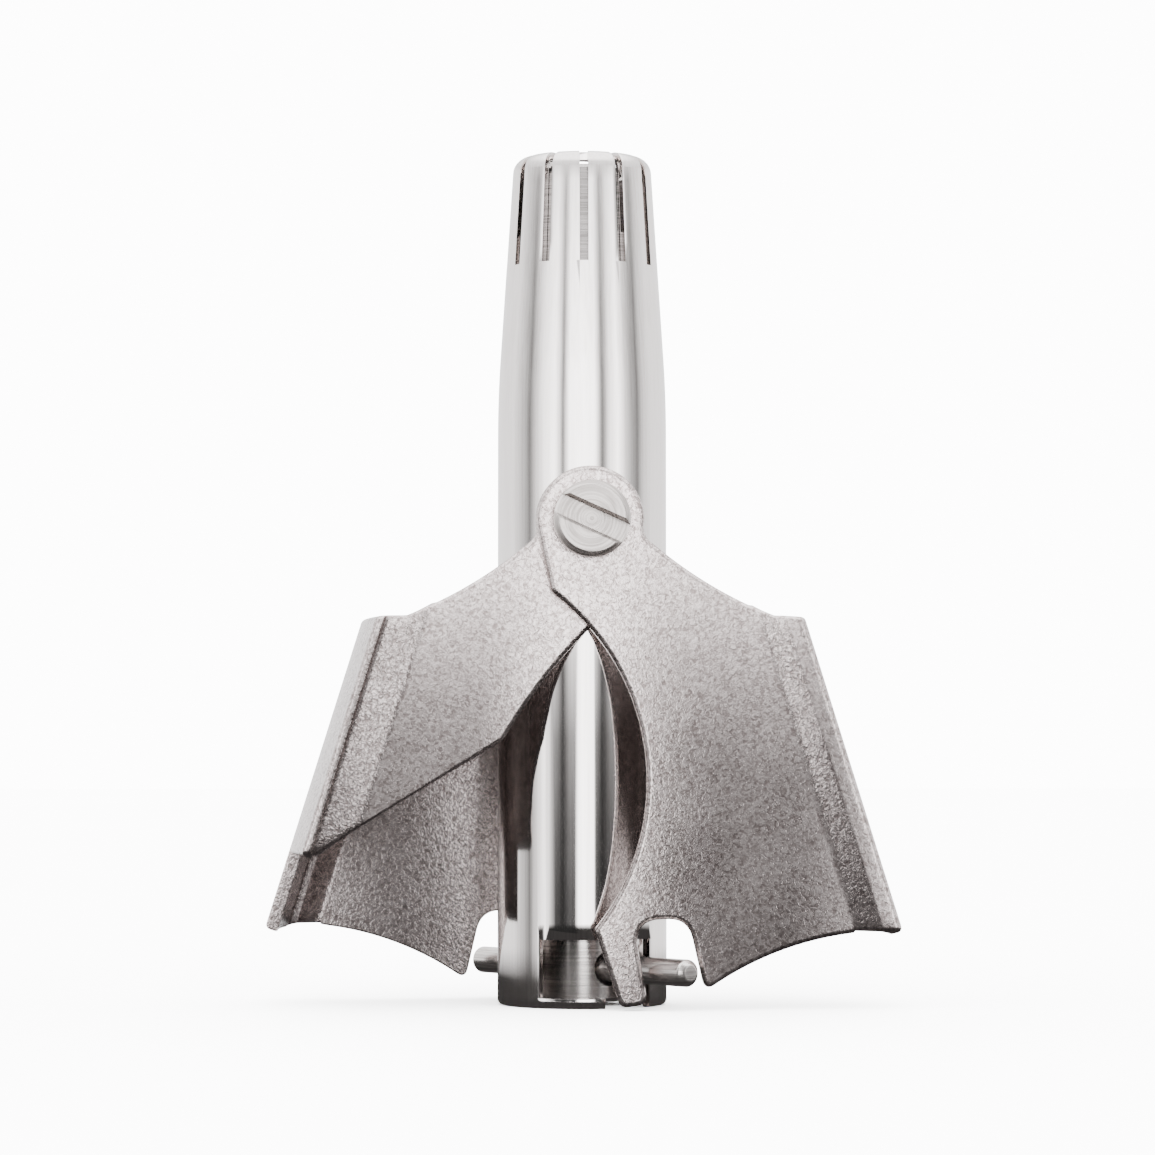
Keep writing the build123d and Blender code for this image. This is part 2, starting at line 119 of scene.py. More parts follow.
def soften(runs: list[Run], radii: list[float], steps: int = 6) -> Run:
    """Joins runs end to start, rounding each corner between them.

    Args:
        runs: Runs of points, each starting where the one before it ends.
        radii: Corner radius at each join, so one fewer than there are runs.
        steps: Chords in each rounded corner.

    Returns:
        One run of points.
    """
    runs = [list(run) for run in runs]
    joined: Run = []
    for k, radius in enumerate(radii):
        before, after = runs[k], runs[k + 1]
        corner = before[-1]
        heading_in = Vector(corner) - Vector(before[-2])
        heading_out = Vector(after[1]) - Vector(corner)
        back = radius * math.tan(heading_in.angle(heading_out) / 2)
        start, next_back = walk(before[::-1], back)
        end, next_on = walk(after, back)
        joined += before[: len(before) - next_back] + [start]
        runs[k + 1] = [end] + after[next_on:]
        for n in range(1, steps):
            t = n / steps
            parts = ((start, (1 - t) ** 2), (corner, 2 * t * (1 - t)), (end, t**2))
            joined.append((sum(p[0] * w for p, w in parts), sum(p[1] * w for p, w in parts)))
    return thinned(joined + runs[-1])


def thinned(run: Run, gap: float = 0.02) -> Run:
    """Drops points that nearly repeat the one before."""
    kept = [run[0]]
    for point in run[1:]:
        if math.dist(point, kept[-1]) > gap:
            kept.append(point)
    return kept


def rounded(corners: Run, radii: list[float], steps: int = 6) -> Run:
    """A polyline through corners with each inner corner rounded."""
    return soften([[a, b] for a, b in zip(corners, corners[1:])], radii, steps)


def spaced(run: Run, count: int) -> Run:
    """Resamples a run to count points, evenly spaced along it."""
    length = sum(math.dist(a, b) for a, b in zip(run, run[1:]))
    return [walk(run, length * k / (count - 1))[0] for k in range(count)]


# ---------------------------------------------------------------- mesh helpers


def new_piece(name: str, vertices: list, faces: list, crease: float = 35.0) -> bpy.types.Object:
    """Makes a piece from millimetre vertices, with merged points, outward faces and smooth shading.

    Args:
        name: The piece's name.
        vertices: Points in millimetres.
        faces: Vertex indices of each face.
        crease: Edges that turn by more degrees than this stay sharp.

    Returns:
        The new object.
    """
    mesh = bpy.data.meshes.new(name)
    mesh.from_pydata([Vector(v) * MM for v in vertices], [], faces)
    shell = bmesh.new()
    shell.from_mesh(mesh)
    bmesh.ops.remove_doubles(shell, verts=shell.verts, dist=2e-6)
    bmesh.ops.recalc_face_normals(shell, faces=shell.faces)
    shell.to_mesh(mesh)
    shell.free()
    piece = bpy.data.objects.new(name, mesh)
    bpy.context.scene.collection.objects.link(piece)
    shade(piece, crease)
    return piece


def shade(piece: bpy.types.Object, crease: float = 35.0) -> None:
    """Shades a piece smooth, with sharp edges where it turns by more than some degrees."""
    shell = bmesh.new()
    shell.from_mesh(piece.data)
    for face in shell.faces:
        face.smooth = True
    for edge in shell.edges:
        turn = edge.calc_face_angle(math.pi) if len(edge.link_faces) == 2 else math.pi
        edge.smooth = turn < math.radians(crease)
    shell.to_mesh(piece.data)
    shell.free()


def bake(piece: bpy.types.Object) -> None:
    """Turns a piece's live modifiers into its plain mesh."""
    bpy.context.view_layer.update()
    evaluated = piece.evaluated_get(bpy.context.evaluated_depsgraph_get())
    mesh = bpy.data.meshes.new_from_object(evaluated)
    piece.modifiers.clear()
    piece.data = mesh
    mesh.name = piece.name


def ease_edges(
    piece: bpy.types.Object, width: float, steps: int = 2, angle: float = 35.0, crease: float = 60.0
) -> None:
    """Rounds a piece's sharper edges and keeps its flats flat.

    Args:
        piece: The piece.
        width: Width of the rounding, in millimetres.
        steps: Facets across the rounding.
        angle: Edges that turn by more degrees than this are rounded.
        crease: Edges that still turn by more degrees than this stay sharp.
    """
    bevel = piece.modifiers.new("ease", "BEVEL")
    bevel.width = width * MM
    bevel.segments = steps
    bevel.limit_method = "ANGLE"
    bevel.angle_limit = math.radians(angle)
    bevel.miter_outer = "MITER_ARC"
    bake(piece)
    shade(piece, crease)
    weight = piece.modifiers.new("flats", "WEIGHTED_NORMAL")
    weight.keep_sharp = True
    bake(piece)


def cut(piece: bpy.types.Object, cutter: bpy.types.Object) -> None:
    """Cuts one piece's mesh with another and deletes the cutter."""
    saw = piece.modifiers.new("cut", "BOOLEAN")
    saw.operation = "DIFFERENCE"
    saw.solver = "EXACT"
    saw.object = cutter
    bake(piece)
    bpy.data.objects.remove(cutter, do_unlink=True)


def lathe(name: str, profile: Run, segments: int = 96, place: Matrix | None = None) -> bpy.types.Object:
    """Spins a profile of (radius, height) points about Z into a closed solid.

    Args:
        name: The piece's name.
        profile: Points from the axis back to it, or right round a ring's section.
        segments: Facets in a full turn.
        place: Where the finished solid goes, in millimetres.

    Returns:
        The new object.
    """
    place = place or Matrix.Identity(4)
    count = len(profile)
    rows = count - 1 if profile[0][0] < 1e-6 else count
    vertices, faces = [], []
    for k in range(segments):
        angle = 2 * math.pi * k / segments
        vertices += [place @ Vector((r * math.cos(angle), r * math.sin(angle), z)) for r, z in profile]
        here, there = k * count, (k + 1) % segments * count
        for row in range(rows):
            up = (row + 1) % count
            faces.append((here + row, there + row, there + up, here + up))
    return new_piece(name, vertices, faces)


def weld(name: str, *pieces: bpy.types.Object) -> bpy.types.Object:
    """Joins pieces whose edges meet into one closed piece."""
    shell = bmesh.new()
    for piece in pieces:
        shell.from_mesh(piece.data)
        bpy.data.objects.remove(piece, do_unlink=True)
    mesh = bpy.data.meshes.new(name)
    bmesh.ops.remove_doubles(shell, verts=shell.verts, dist=3e-6)
    bmesh.ops.recalc_face_normals(shell, faces=shell.faces)
    shell.to_mesh(mesh)
    shell.free()
    joined = bpy.data.objects.new(name, mesh)
    bpy.context.scene.collection.objects.link(joined)
    shade(joined)
    return joined


@dataclass
class PiercedShell:
    """A wall of two skins round the Z axis, with openings cut square through it.

    Attributes:
        name: The piece's name.
        outside: Outer skin as (radius, height) points, from the bottom up.
        inside: Inner skin, point for point behind the outer one.
        turns: How many upright lines of points there are.
        angle_at: Angle of an upright line at a radius and height.
        is_open: Says if the cell right of an upright line and above a row is an opening.
        whole: Whether the wall goes all the way round, or is one sector whose sides meet its copies.
        closed_ends: Whether the bottom and the top are closed off.
    """

    name: str
    outside: Run
    inside: Run
    turns: int
    angle_at: Callable[[int, float, float], float]
    is_open: Callable[[int, int], bool]
    whole: bool = False
    closed_ends: tuple[bool, bool] = (True, True)

    def build(self) -> bpy.types.Object:
        """Makes the wall."""
        rows = len(self.outside)
        vertices = []
        for skin in (self.outside, self.inside):
            for column in range(self.turns):
                for radius, z in skin:
                    angle = self.angle_at(column, radius, z)
                    vertices.append((radius * math.cos(angle), radius * math.sin(angle), z))
        spans = self.turns if self.whole else self.turns - 1
        cells = ((i, j) for i in range(spans) for j in range(rows - 1))
        filled = {cell for cell in cells if not self.is_open(*cell)}
        behind = self.turns * rows
        faces = []
        for i, j in filled:
            right = (i + 1) % self.turns
            corners = [i * rows + j, right * rows + j, right * rows + j + 1, i * rows + j + 1]
            faces += [tuple(corners), tuple(behind + c for c in reversed(corners))]
            for k, beside in enumerate(((i, j - 1), (i + 1, j), (i, j + 1), (i - 1, j))):
                if self.needs_wall(beside, filled, spans, rows):
                    a, b = corners[k], corners[(k + 1) % 4]
                    faces.append((b, a, behind + a, behind + b))
        return new_piece(self.name, vertices, faces)

    def needs_wall(self, beside: tuple[int, int], filled: set, spans: int, rows: int) -> bool:
        """Whether a cell's neighbour is an opening, so that the wall's thickness shows there.

        Args:
            beside: The neighbour's column and row.
            filled: Cells that aren't openings.
            spans: How many columns of cells there are.
            rows: How many rows of points there are.

        Returns:
            True where the two skins have to be joined.
        """
        column, row = beside
        if row < 0:
            return self.closed_ends[0]
        if row > rows - 2:
            return self.closed_ends[1]
        if self.whole:
            return (column % spans, row) not in filled
        return 0 <= column < spans and beside not in filled


# ---------------------------------------------------------------- node helpers


def add_node(tree: bpy.types.NodeTree, kind: str, inputs: dict | None = None, **settings) -> bpy.types.Node:
    """Adds a node to a tree.

    Args:
        tree: Material, world or geometry node tree.
        kind: The node's type name.
        inputs: Value, or another node's output socket, for each input by name or number.
        **settings: The node's own properties.

    Returns:
        The new node.
    """
    node = tree.nodes.new(kind)
    for name, value in settings.items():
        setattr(node, name, value)
    for key, value in (inputs or {}).items():
        if isinstance(value, bpy.types.NodeSocket):
            tree.links.new(value, node.inputs[key])
        else:
            node.inputs[key].default_value = value
    return node


def linear(code: str) -> tuple[float, float, float, float]:
    """Linear colour of an sRGB hex code such as 'a0b1c2'."""
    parts = [int(code[k : k + 2], 16) / 255 for k in (0, 2, 4)]
    return (*(p / 12.92 if p <= 0.04045 else ((p + 0.055) / 1.055) ** 2.4 for p in parts), 1.0)


def set_ramp(ramp: bpy.types.ColorRamp, stops: list[tuple[float, float]]) -> None:
    """Gives a ramp its stops as (position, grey level) pairs."""
    while len(ramp.elements) > 1:
        ramp.elements.remove(ramp.elements[-1])
    ramp.elements[0].position = stops[0][0]
    ramp.elements[0].color = (stops[0][1],) * 3 + (1.0,)
    for position, level in stops[1:]:
        ramp.elements.new(position).color = (level,) * 3 + (1.0,)


def new_geometry_tree(
    name: str, inputs: dict[str, tuple[str, float | None]]
) -> tuple[bpy.types.NodeTree, bpy.types.Node, bpy.types.Node]:
    """Starts a Geometry Nodes tree with named size inputs.

    Args:
        name: The tree's name.
        inputs: Socket type and starting value for each named input.

    Returns:
        The tree, its input node and its output node.
    """
    tree = bpy.data.node_groups.new(name, "GeometryNodeTree")
    tree.is_modifier = True
    tree.interface.new_socket("Geometry", in_out="INPUT", socket_type="NodeSocketGeometry")
    tree.interface.new_socket("Geometry", in_out="OUTPUT", socket_type="NodeSocketGeometry")
    for label, (kind, value) in inputs.items():
        socket = tree.interface.new_socket(label, in_out="INPUT", socket_type=kind)
        if value is not None:
            socket.default_value = value
    return tree, add_node(tree, "NodeGroupInput"), add_node(tree, "NodeGroupOutput")


def run_tree(piece: bpy.types.Object, tree: bpy.types.NodeTree, values: dict) -> None:
    """Runs a Geometry Nodes tree on a piece with named values and keeps the plain mesh it gives."""
    modifier = piece.modifiers.new(tree.name, "NODES")
    modifier.node_group = tree
    for socket in tree.interface.items_tree:
        if socket.in_out == "INPUT" and socket.name in values:
            modifier[socket.identifier] = values[socket.name]
    bake(piece)


def repeat_round_tree() -> bpy.types.NodeTree:
    """Tree that repeats the piece's own mesh evenly round the Z axis and joins the copies."""
    tree, start, end = new_geometry_tree(
        "repeat_round",
        {
            "Count": ("NodeSocketInt", 12),
            "First Turn": ("NodeSocketFloat", 0.0),
            "Join Distance": ("NodeSocketFloat", 2e-6),
            "Material": ("NodeSocketMaterial", None),
        },
    )
    places = add_node(tree, "GeometryNodePoints", {"Count": start.outputs["Count"]})
    step = add_node(tree, "ShaderNodeMath", {0: math.tau, 1: start.outputs["Count"]}, operation="DIVIDE")
    index = add_node(tree, "GeometryNodeInputIndex")
    turn = add_node(
        tree,
        "ShaderNodeMath",
        {0: index.outputs[0], 1: step.outputs[0], 2: start.outputs["First Turn"]},
        operation="MULTIPLY_ADD",
    )
    heading = add_node(tree, "ShaderNodeCombineXYZ", {"Z": turn.outputs[0]})
    copies = add_node(
        tree,
        "GeometryNodeInstanceOnPoints",
        {"Points": places.outputs[0], "Instance": start.outputs["Geometry"], "Rotation": heading.outputs[0]},
    )
    real = add_node(tree, "GeometryNodeRealizeInstances", {"Geometry": copies.outputs[0]})
    joined = add_node(
        tree,
        "GeometryNodeMergeByDistance",
        {"Geometry": real.outputs[0], "Distance": start.outputs["Join Distance"]},
    )
    dressed = add_node(
        tree,
        "GeometryNodeSetMaterial",
        {"Geometry": joined.outputs[0], "Material": start.outputs["Material"]},
    )
    tree.links.new(dressed.outputs[0], end.inputs[0])
    return tree


# ---------------------------------------------------------------- finishes


@dataclass(frozen=True)
class SteelFinish:
    """A bare stainless steel surface: its colour, the marks that its making left, and painted shade in their
    hollows.

    Attributes:
        name: The material's name.
        light: sRGB hex colour of the metal on the raised parts of the grain.
        dark: sRGB hex colour of the metal in the hollows of the grain, partly its own tone and partly
            painted shade.
        roughness: Lowest and highest roughness, between well rubbed and dull patches.
        grain: How the surface was made.
        grain_mm: Width of one mark.
        relief_mm: Height of the marks.
        streak: How many times longer than wide a mark is.
        swirl: How far the marks wander.
        patch_mm: Size of the patches that handling has rubbed.
        centre: A point on the axis that the marks lie round, in millimetres.
        turn: Turn of the marks' axis, in degrees about X, Y and Z.
    """

    name: str
    light: str
    dark: str
    roughness: tuple[float, float]
    grain: Grain
    grain_mm: float
    relief_mm: float
    streak: float = 40.0
    swirl: float = 0.0
    patch_mm: float = 7.0
    centre: tuple[float, float, float] = (0.0, 0.0, 0.0)
    turn: tuple[float, float, float] = (0.0, 0.0, 0.0)

    def marks(self, tree: bpy.types.NodeTree, place: bpy.types.NodeSocket) -> bpy.types.NodeSocket:
        """Adds the nodes for the surface's marks.

        Args:
            tree: The material's nodes.
            place: Object coordinates, centred and turned.

        Returns:
            The height of the marks, from 0 to 1.
        """
        pattern = {"Detail": 3.0, "Roughness": 0.55, "Distortion": self.swirl}
        if self.grain is Grain.TURNED:
            across, along = (1.0, 0.0, 1.0), (1 / self.streak,) * 3
            flat = add_node(tree, "ShaderNodeVectorMath", {0: place, 1: across}, operation="MULTIPLY")
            radius = add_node(tree, "ShaderNodeVectorMath", {0: flat.outputs[0]}, operation="LENGTH")
            rings = add_node(tree, "ShaderNodeCombineXYZ", {"X": radius.outputs["Value"]})
            bend = add_node(tree, "ShaderNodeVectorMath", {0: place, 1: along}, operation="MULTIPLY")
            moved = add_node(tree, "ShaderNodeVectorMath", {0: rings.outputs[0], 1: bend.outputs[0]})
            place = moved.outputs[0]
        elif self.grain is not Grain.TUMBLED:
            along = 1 / self.streak
            scale = (1.0, 1.0, along) if self.grain is Grain.DRAWN else (along, along, 1.0)
            drawn_out = add_node(tree, "ShaderNodeVectorMath", {0: place, 1: scale}, operation="MULTIPLY")
            place = drawn_out.outputs[0]
        inputs = {"Vector": place, "Scale": 1 / (self.grain_mm * MM), **pattern}
        return add_node(tree, "ShaderNodeTexNoise", inputs).outputs["Fac"]

    def material(self) -> bpy.types.Material:
        """Builds the material's nodes."""
        steel = bpy.data.materials.new(self.name)
        steel.use_nodes = True
        tree = steel.node_tree
        surface = tree.nodes["Principled BSDF"]
        surface.inputs["Metallic"].default_value = 1.0
        whole = add_node(tree, "ShaderNodeTexCoord").outputs["Object"]
        inputs = {
            "Vector": whole,
            "Location": tuple(c * MM for c in self.centre),
            "Rotation": tuple(math.radians(t) for t in self.turn),
        }
        place = add_node(tree, "ShaderNodeMapping", inputs, vector_type="TEXTURE").outputs["Vector"]
        marks = self.marks(tree, place)
        # Patches rubbed brighter or left duller, about the size of a fingertip
        inputs = {"Vector": whole, "Scale": 1 / (self.patch_mm * MM), "Detail": 4.0, "Roughness": 0.6}
        patch = add_node(tree, "ShaderNodeTexNoise", inputs).outputs["Fac"]
        low, high = self.roughness
        inputs = {"Value": patch, "From Min": 0.3, "From Max": 0.7, "To Min": low, "To Max": high}
        gloss = add_node(tree, "ShaderNodeMapRange", inputs).outputs["Result"]
        # The hollows of the marks are painted darker: partly the metal's own tone, partly painted shade
        inputs = {"Value": marks, "From Min": 0.36, "From Max": 0.6}
        share = add_node(tree, "ShaderNodeMapRange", inputs).outputs["Result"]
        tone = add_node(tree, "ShaderNodeMix", {"Factor": share}, data_type="RGBA")
        tone.inputs[6].default_value = linear(self.dark)
        tone.inputs[7].default_value = linear(self.light)
        relief = add_node(
            tree,
            "ShaderNodeBump",
            {"Height": marks, "Strength": 1.0, "Distance": self.relief_mm * MM},
        )
        tree.links.new(tone.outputs[2], surface.inputs["Base Color"])
        tree.links.new(gloss, surface.inputs["Roughness"])
        tree.links.new(relief.outputs["Normal"], surface.inputs["Normal"])
        return steel


# Deep-drawn 304 stainless tube, buffed: nearly a mirror, with faint lines up and down from the buff
BUFFED_TUBE = SteelFinish(
    name="drawn_buffed_stainless_tube",
    light="e8e3e1",
    dark="dcd6d4",
    roughness=(0.05, 0.09),
    grain=Grain.DRAWN,
    grain_mm=0.16,
    relief_mm=0.0006,
    streak=70.0,
)

# Pressed 304 stainless sheet, tumbled in stone media: a soft satin covered in tiny wandering pits, whose
# dark is partly painted shade
TUMBLED_SHEET = SteelFinish(
    name="tumbled_stainless_sheet",
    light="ccc2c0",
    dark="887d7b",
    roughness=(0.18, 0.27),
    grain=Grain.TUMBLED,
    grain_mm=0.29,
    relief_mm=0.035,
    swirl=1.1,
)

# Screw heads faced on a lathe: close rings round the middle that catch the light
TURNED_SCREW = SteelFinish(
    name="turned_stainless_screw",
    light="b8b2af",
    dark="928c89",
    roughness=(0.36, 0.44),
    grain=Grain.TURNED,
    grain_mm=0.16,
    relief_mm=0.006,
    streak=12.0,
    patch_mm=2.5,
    centre=(0.0, 0.0, PIVOT_Z),
)

# Centreless-ground stainless rod: satin, with fine rings round its length
GROUND_ROD = SteelFinish(
    name="ground_stainless_rod",
    light="d8d3d0",
    dark="b0aaa8",
    roughness=(0.2, 0.28),
    grain=Grain.GROUND,
    grain_mm=0.12,
    relief_mm=0.003,
    patch_mm=4.0,
)

# Hardened cutter steel, ground round its blades: a little darker and keener than the rest
GROUND_CUTTER = SteelFinish(
    name="hardened_ground_cutter_steel",
    light="8c8887",
    dark="625f5e",
    roughness=(0.26, 0.34),
    grain=Grain.GROUND,
    grain_mm=0.1,
    relief_mm=0.002,
    patch_mm=4.0,
)

# Cold-drawn spring wire: smooth and slightly grey from drawing
SPRING_WIRE = SteelFinish(
    name="cold_drawn_spring_wire",
    light="c4c0be",
    dark="a29d9b",
    roughness=(0.22, 0.3),
    grain=Grain.TUMBLED,
    grain_mm=0.2,
    relief_mm=0.002,
    patch_mm=3.0,
)


def dress(piece: bpy.types.Object, steel: bpy.types.Material, body: str, slot: str, *nodes: str) -> None:
    """Gives a finished piece its metal and its place in the model.

    Args:
        piece: The finished piece.
        steel: Its material.
        body: The body it moves with.
        slot: The record's material slot. Not used.
        *nodes: The model's nodes that it stands for.
    """
    piece.data.materials.clear()
    piece.data.materials.append(steel)
    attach(piece, body)
    if nodes:
        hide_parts(*nodes)
    log.info("%s: %d faces", piece.name, len(piece.data.polygons))


def redress(node: str, steel: bpy.types.Material) -> None:
    """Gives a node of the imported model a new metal."""
    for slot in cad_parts[node].material_slots:
        slot.material = steel
    log.info("%s keeps its shape", node)


# ---------------------------------------------------------------- levers


@dataclass
class FoldedLever:
    """One lever: a steel sheet folded round the barrel's side, with two pivot eyes and a hook.

    The section across the handle lies in (u, v): u runs out from the pivot axis square to the handle,
    and v towards the long plate. The outlines are drawn from the long plate's side, as (x, z) from the
    pivot. The sheet's edge is rounded more on its outer face than on its inner one.
    """

    side: Side
    steel: bpy.types.Material
    tilt: float = 17.35
    handle_top: float = -7.2
    handle_bottom: float = -30.9
    outer_edge: float = 0.4
    inner_edge: float = 0.15
    long_from_u: float = 9.4
    short_from_u: float = 8.9
    rows: int = 30
    outside_long: Run = field(
        default_factory=lambda: rounded(
            [(-9.0, 8.9), (9.95, 8.9), (11.75, 9.75), (13.12, 9.75), (13.25, 8.3)], [1.6, 0.5, 0.75], 8
        )
    )
    outside_short: Run = field(
        default_factory=lambda: rounded(
            [(13.25, -8.3), (13.15, -9.3), (12.6, -9.3), (12.4, -8.95), (9.6, -7.8), (-9.0, -7.8)],
            [0.5, 0.15, 0.06, 1.4],
            6,
        )
    )
    inside_long: Run = field(
        default_factory=lambda: rounded(
            [(-9.0, 7.9), (10.1, 7.9), (11.65, 8.65), (12.25, 8.65), (12.33, 7.3)], [1.2, 0.4, 0.3], 8
        )
    )
    inside_short: Run = field(
        default_factory=lambda: rounded(
            [(12.33, -7.3), (12.28, -7.75), (12.1, -7.8), (9.7, -6.8), (-9.0, -6.8)],
            [0.05, 0.05, 1.0],
            6,
        )
    )

    def long_outline(self) -> Run:
        """Outline of the long plate, from the handle's top round the eye and the hook to its bottom."""
        return soften(
            [
                [(18.0, self.handle_top), (13.8, self.handle_top)],
                arc((13.8, self.handle_top), (8.1, -4.3), (3.9, -1.1), 28),
                arc((3.9, -1.1), (0.0, 4.05), (-3.96, -0.87), 56),
                [(-3.96, -0.87), (-2.96, -5.45)],
                arc((-2.96, -5.45), (4.2, -19.63), (0.3, -30.7), 48),
                [(0.3, -30.7), (2.25, -36.55)],
                [(2.25, -36.55), (4.3, -36.35)],
                [(4.3, -36.35), (3.15, -29.95)],
                [(3.15, -29.95), (7.35, -29.95)],
                [(7.35, -29.95), (8.6, -35.35)],
                arc((8.6, -35.35), (13.6, -32.6), (21.5, self.handle_bottom), 32),
                [(21.5, self.handle_bottom), (26.0, self.handle_bottom)],
            ],
            [0.3, 1.2, 0.0, 1.0, 0.5, 0.6, 0.9, 1.9, 1.9, 0.6, 3.0],
            8,
        )

    def short_outline(self) -> Run:
        """Outline of the short plate, from the handle's top round the eye to its bottom."""
        return soften(
            [
                [(18.0, self.handle_top), (13.8, self.handle_top)],
                arc((13.8, self.handle_top), (8.1, -4.3), (3.9, -1.1), 28),
                arc((3.9, -1.1), (0.0, 4.05), (-3.96, -0.87), 56),
                [(-3.96, -0.87), (-2.96, -5.45)],
                arc((-2.96, -5.45), (2.0, -10.3), (6.54, -16.6), 24),
                [(6.54, -16.6), (20.5, -25.1)],
                [(20.5, -25.1), (26.0, -25.1)],
            ],
            [0.3, 1.2, 0.0, 1.0, 1.0, 0.0],
            8,
        )

    def relief(self) -> Run:
        """Cut in the handle's lower corner on the short side, as (distance from the middle, z)."""
        rise = arc((5.4, -30.6), (6.6, -27.2), (9.2, -25.5), 12)
        return [(5.3, -32.0), (5.4, -30.6)] + rise + [(11.0, -25.2)]

    def to_sheet(self, point: Point) -> Point:
        """Turns an (x, z) point into (u, t), where t runs down the handle."""
        c, s = math.cos(math.radians(self.tilt)), math.sin(math.radians(self.tilt))
        return c * point[0] + s * point[1], s * point[0] - c * point[1]

    def from_sheet(self, u: float, v: float, t: float) -> Vector:
        """Turns (u, v, t) into the lever's place in the trimmer."""
        c, s = math.cos(math.radians(self.tilt)), math.sin(math.radians(self.tilt))
        turn = Matrix.Rotation(math.radians(self.side.value), 4, "Z")
        return turn @ Vector((c * u + s * t, -v, PIVOT_Z + s * u - c * t))

    def section(self) -> list[tuple[Point, Point]]:
        """Pairs of outer and inner points across the handle, from the long plate to the short one."""
        outer_bow = arc((13.25, 8.3), (14.0, 0.0), (13.25, -8.3), 30)
        inner_bow = arc((12.33, 7.3), (13.0, 0.0), (12.33, -7.3), 30)
        outside = soften([self.outside_long, outer_bow, self.outside_short], [2.0, 2.0])
        inside = soften([self.inside_long, inner_bow, self.inside_short], [1.0, 1.0])
        spans = (
            ((self.long_from_u, 8.9), (self.long_from_u, 7.9), 2),
            ((11.3, 9.5), (11.2, 8.39), 16),
            ((12.4, 9.75), (11.95, 8.65), 9),
            ((13.2, 8.9), (12.29, 8.0), 12),
            ((13.45, 6.5), (12.5, 6.0), 6),
            ((13.45, -6.5), (12.5, -6.0), 28),
            ((13.2, -8.8), (12.3, -7.6), 6),
            ((12.85, -9.3), (12.2, -7.8), 12),
            ((12.4, -8.95), (12.0, -7.76), 10),
            ((11.2, -8.46), (11.2, -7.43), 7),
            ((self.short_from_u, -7.8), (self.short_from_u, -6.8), 12),
        )
        pairs: list[tuple[Point, Point]] = []
        cut_out, cut_in = 0, 0
        for k, (out_mark, in_mark, count) in enumerate(spans):
            next_out = min(range(len(outside)), key=lambda n: math.dist(outside[n], out_mark))
            next_in = min(range(len(inside)), key=lambda n: math.dist(inside[n], in_mark))
            if k:
                outs = spaced(outside[cut_out : next_out + 1], count)
                ins = spaced(inside[cut_in : next_in + 1], count)
                pairs += list(zip(outs, ins))[1 if pairs else 0 :]
            cut_out, cut_in = next_out, next_in
        return pairs

    def plate_edge(self, outline: Run, from_u: float) -> Run:
        """The part of an outline beyond the handle, as (u, t) from the handle's top to its bottom."""
        points = [self.to_sheet(p) for p in outline]
        edge: Run = []
        for a, b in zip(points, points[1:]):
            if (a[0] - from_u) * (b[0] - from_u) < 0:
                share = (from_u - a[0]) / (b[0] - a[0])
                edge.append((from_u, a[1] + share * (b[1] - a[1])))
            if b[0] < from_u:
                edge.append(b)
        return thinned(edge)

    def ends_at(self, outline: Run, u: float, v: float) -> Point:
        """Where the sheet starts and ends down the handle, at a point of its section.

        Args:
            outline: The plate outline on that side.
            u: The section point's distance out.
            v: Its distance towards the long plate.

        Returns:
            The top and bottom t.
        """
        points = [self.to_sheet(p) for p in outline]
        crossings = []
        for a, b in zip(points, points[1:]):
            if (a[0] - u) * (b[0] - u) <= 0 and a[0] != b[0]:
                crossings.append(a[1] + (u - a[0]) / (b[0] - a[0]) * (b[1] - a[1]))
        c, s = math.cos(math.radians(self.tilt)), math.sin(math.radians(self.tilt))
        lowest = self.handle_bottom
        for (v0, z0), (v1, z1) in zip(self.relief(), self.relief()[1:]):
            if v0 <= -v <= v1:
                lowest = max(lowest, z0 + (z1 - z0) * (-v - v0) / (v1 - v0))
        return min(crossings), min((s * u - lowest) / c, max(crossings))

    def build(self) -> bpy.types.Object:
        """Makes the lever's mesh: two skins joined by a rounded rim."""
        long_side, short_side = self.long_outline(), self.short_outline()
        columns = self.section()
        spans = [self.ends_at(long_side if p[0][1] > 0 else short_side, *p[0]) for p in columns]
        long_edge = self.plate_edge(long_side, columns[0][0][0])
        short_edge = self.plate_edge(short_side, columns[-1][0][0])
        spans[0] = (long_edge[0][1], long_edge[-1][1])
        spans[-1] = (short_edge[0][1], short_edge[-1][1])

        def plate_ring(edge: Run, plate: tuple[Point, Point], inset: float, depth: float) -> list[Vector]:
            """Points round a plate's edge, drawn in by an inset and sunk by a share of the sheet."""
            v = plate[0][1] + depth * (plate[1][1] - plate[0][1])
            ring = []
            for k, (u, t) in enumerate(edge[1:-1], 1):
                along = Vector(edge[k + 1]) - Vector(edge[k - 1])
                along.normalize()
                ring.append(self.from_sheet(u - inset * along.y, v, t + inset * along.x))
            return ring

        def column_point(k: int, share: float, inset: float, depth: float) -> Vector:
            """Point a share of the way down one column of the fold."""
            (u0, v0), (u1, v1) = columns[k]
            top, bottom = spans[k]
            t = top + inset + share * (bottom - top - 2 * inset)
            return self.from_sheet(u0 + depth * (u1 - u0), v0 + depth * (v1 - v0), t)

        last = len(columns) - 1

        def ring(inset: float, depth: float) -> list[Vector]:
            """Points once round the whole sheet's edge."""
            return (
                plate_ring(long_edge, columns[0], -inset, depth)
                + [column_point(k, 1, inset, depth) for k in range(last + 1)]
                + plate_ring(short_edge, columns[-1], -inset, depth)[::-1]
                + [column_point(k, 0, inset, depth) for k in range(last, -1, -1)]
            )

        layers = []
        for n in range(5):
            angle = math.pi / 2 * n / 4
            layers.append((self.outer_edge * (1 - math.sin(angle)), self.outer_edge * (1 - math.cos(angle))))
        for n in range(4):
            angle = math.pi / 2 * n / 3
            short_of = self.inner_edge * (1 - math.sin(angle))
            layers.append((self.inner_edge * (1 - math.cos(angle)), 1 - short_of))
        vertices: list[Vector] = []
        faces: list[tuple[int, ...]] = []

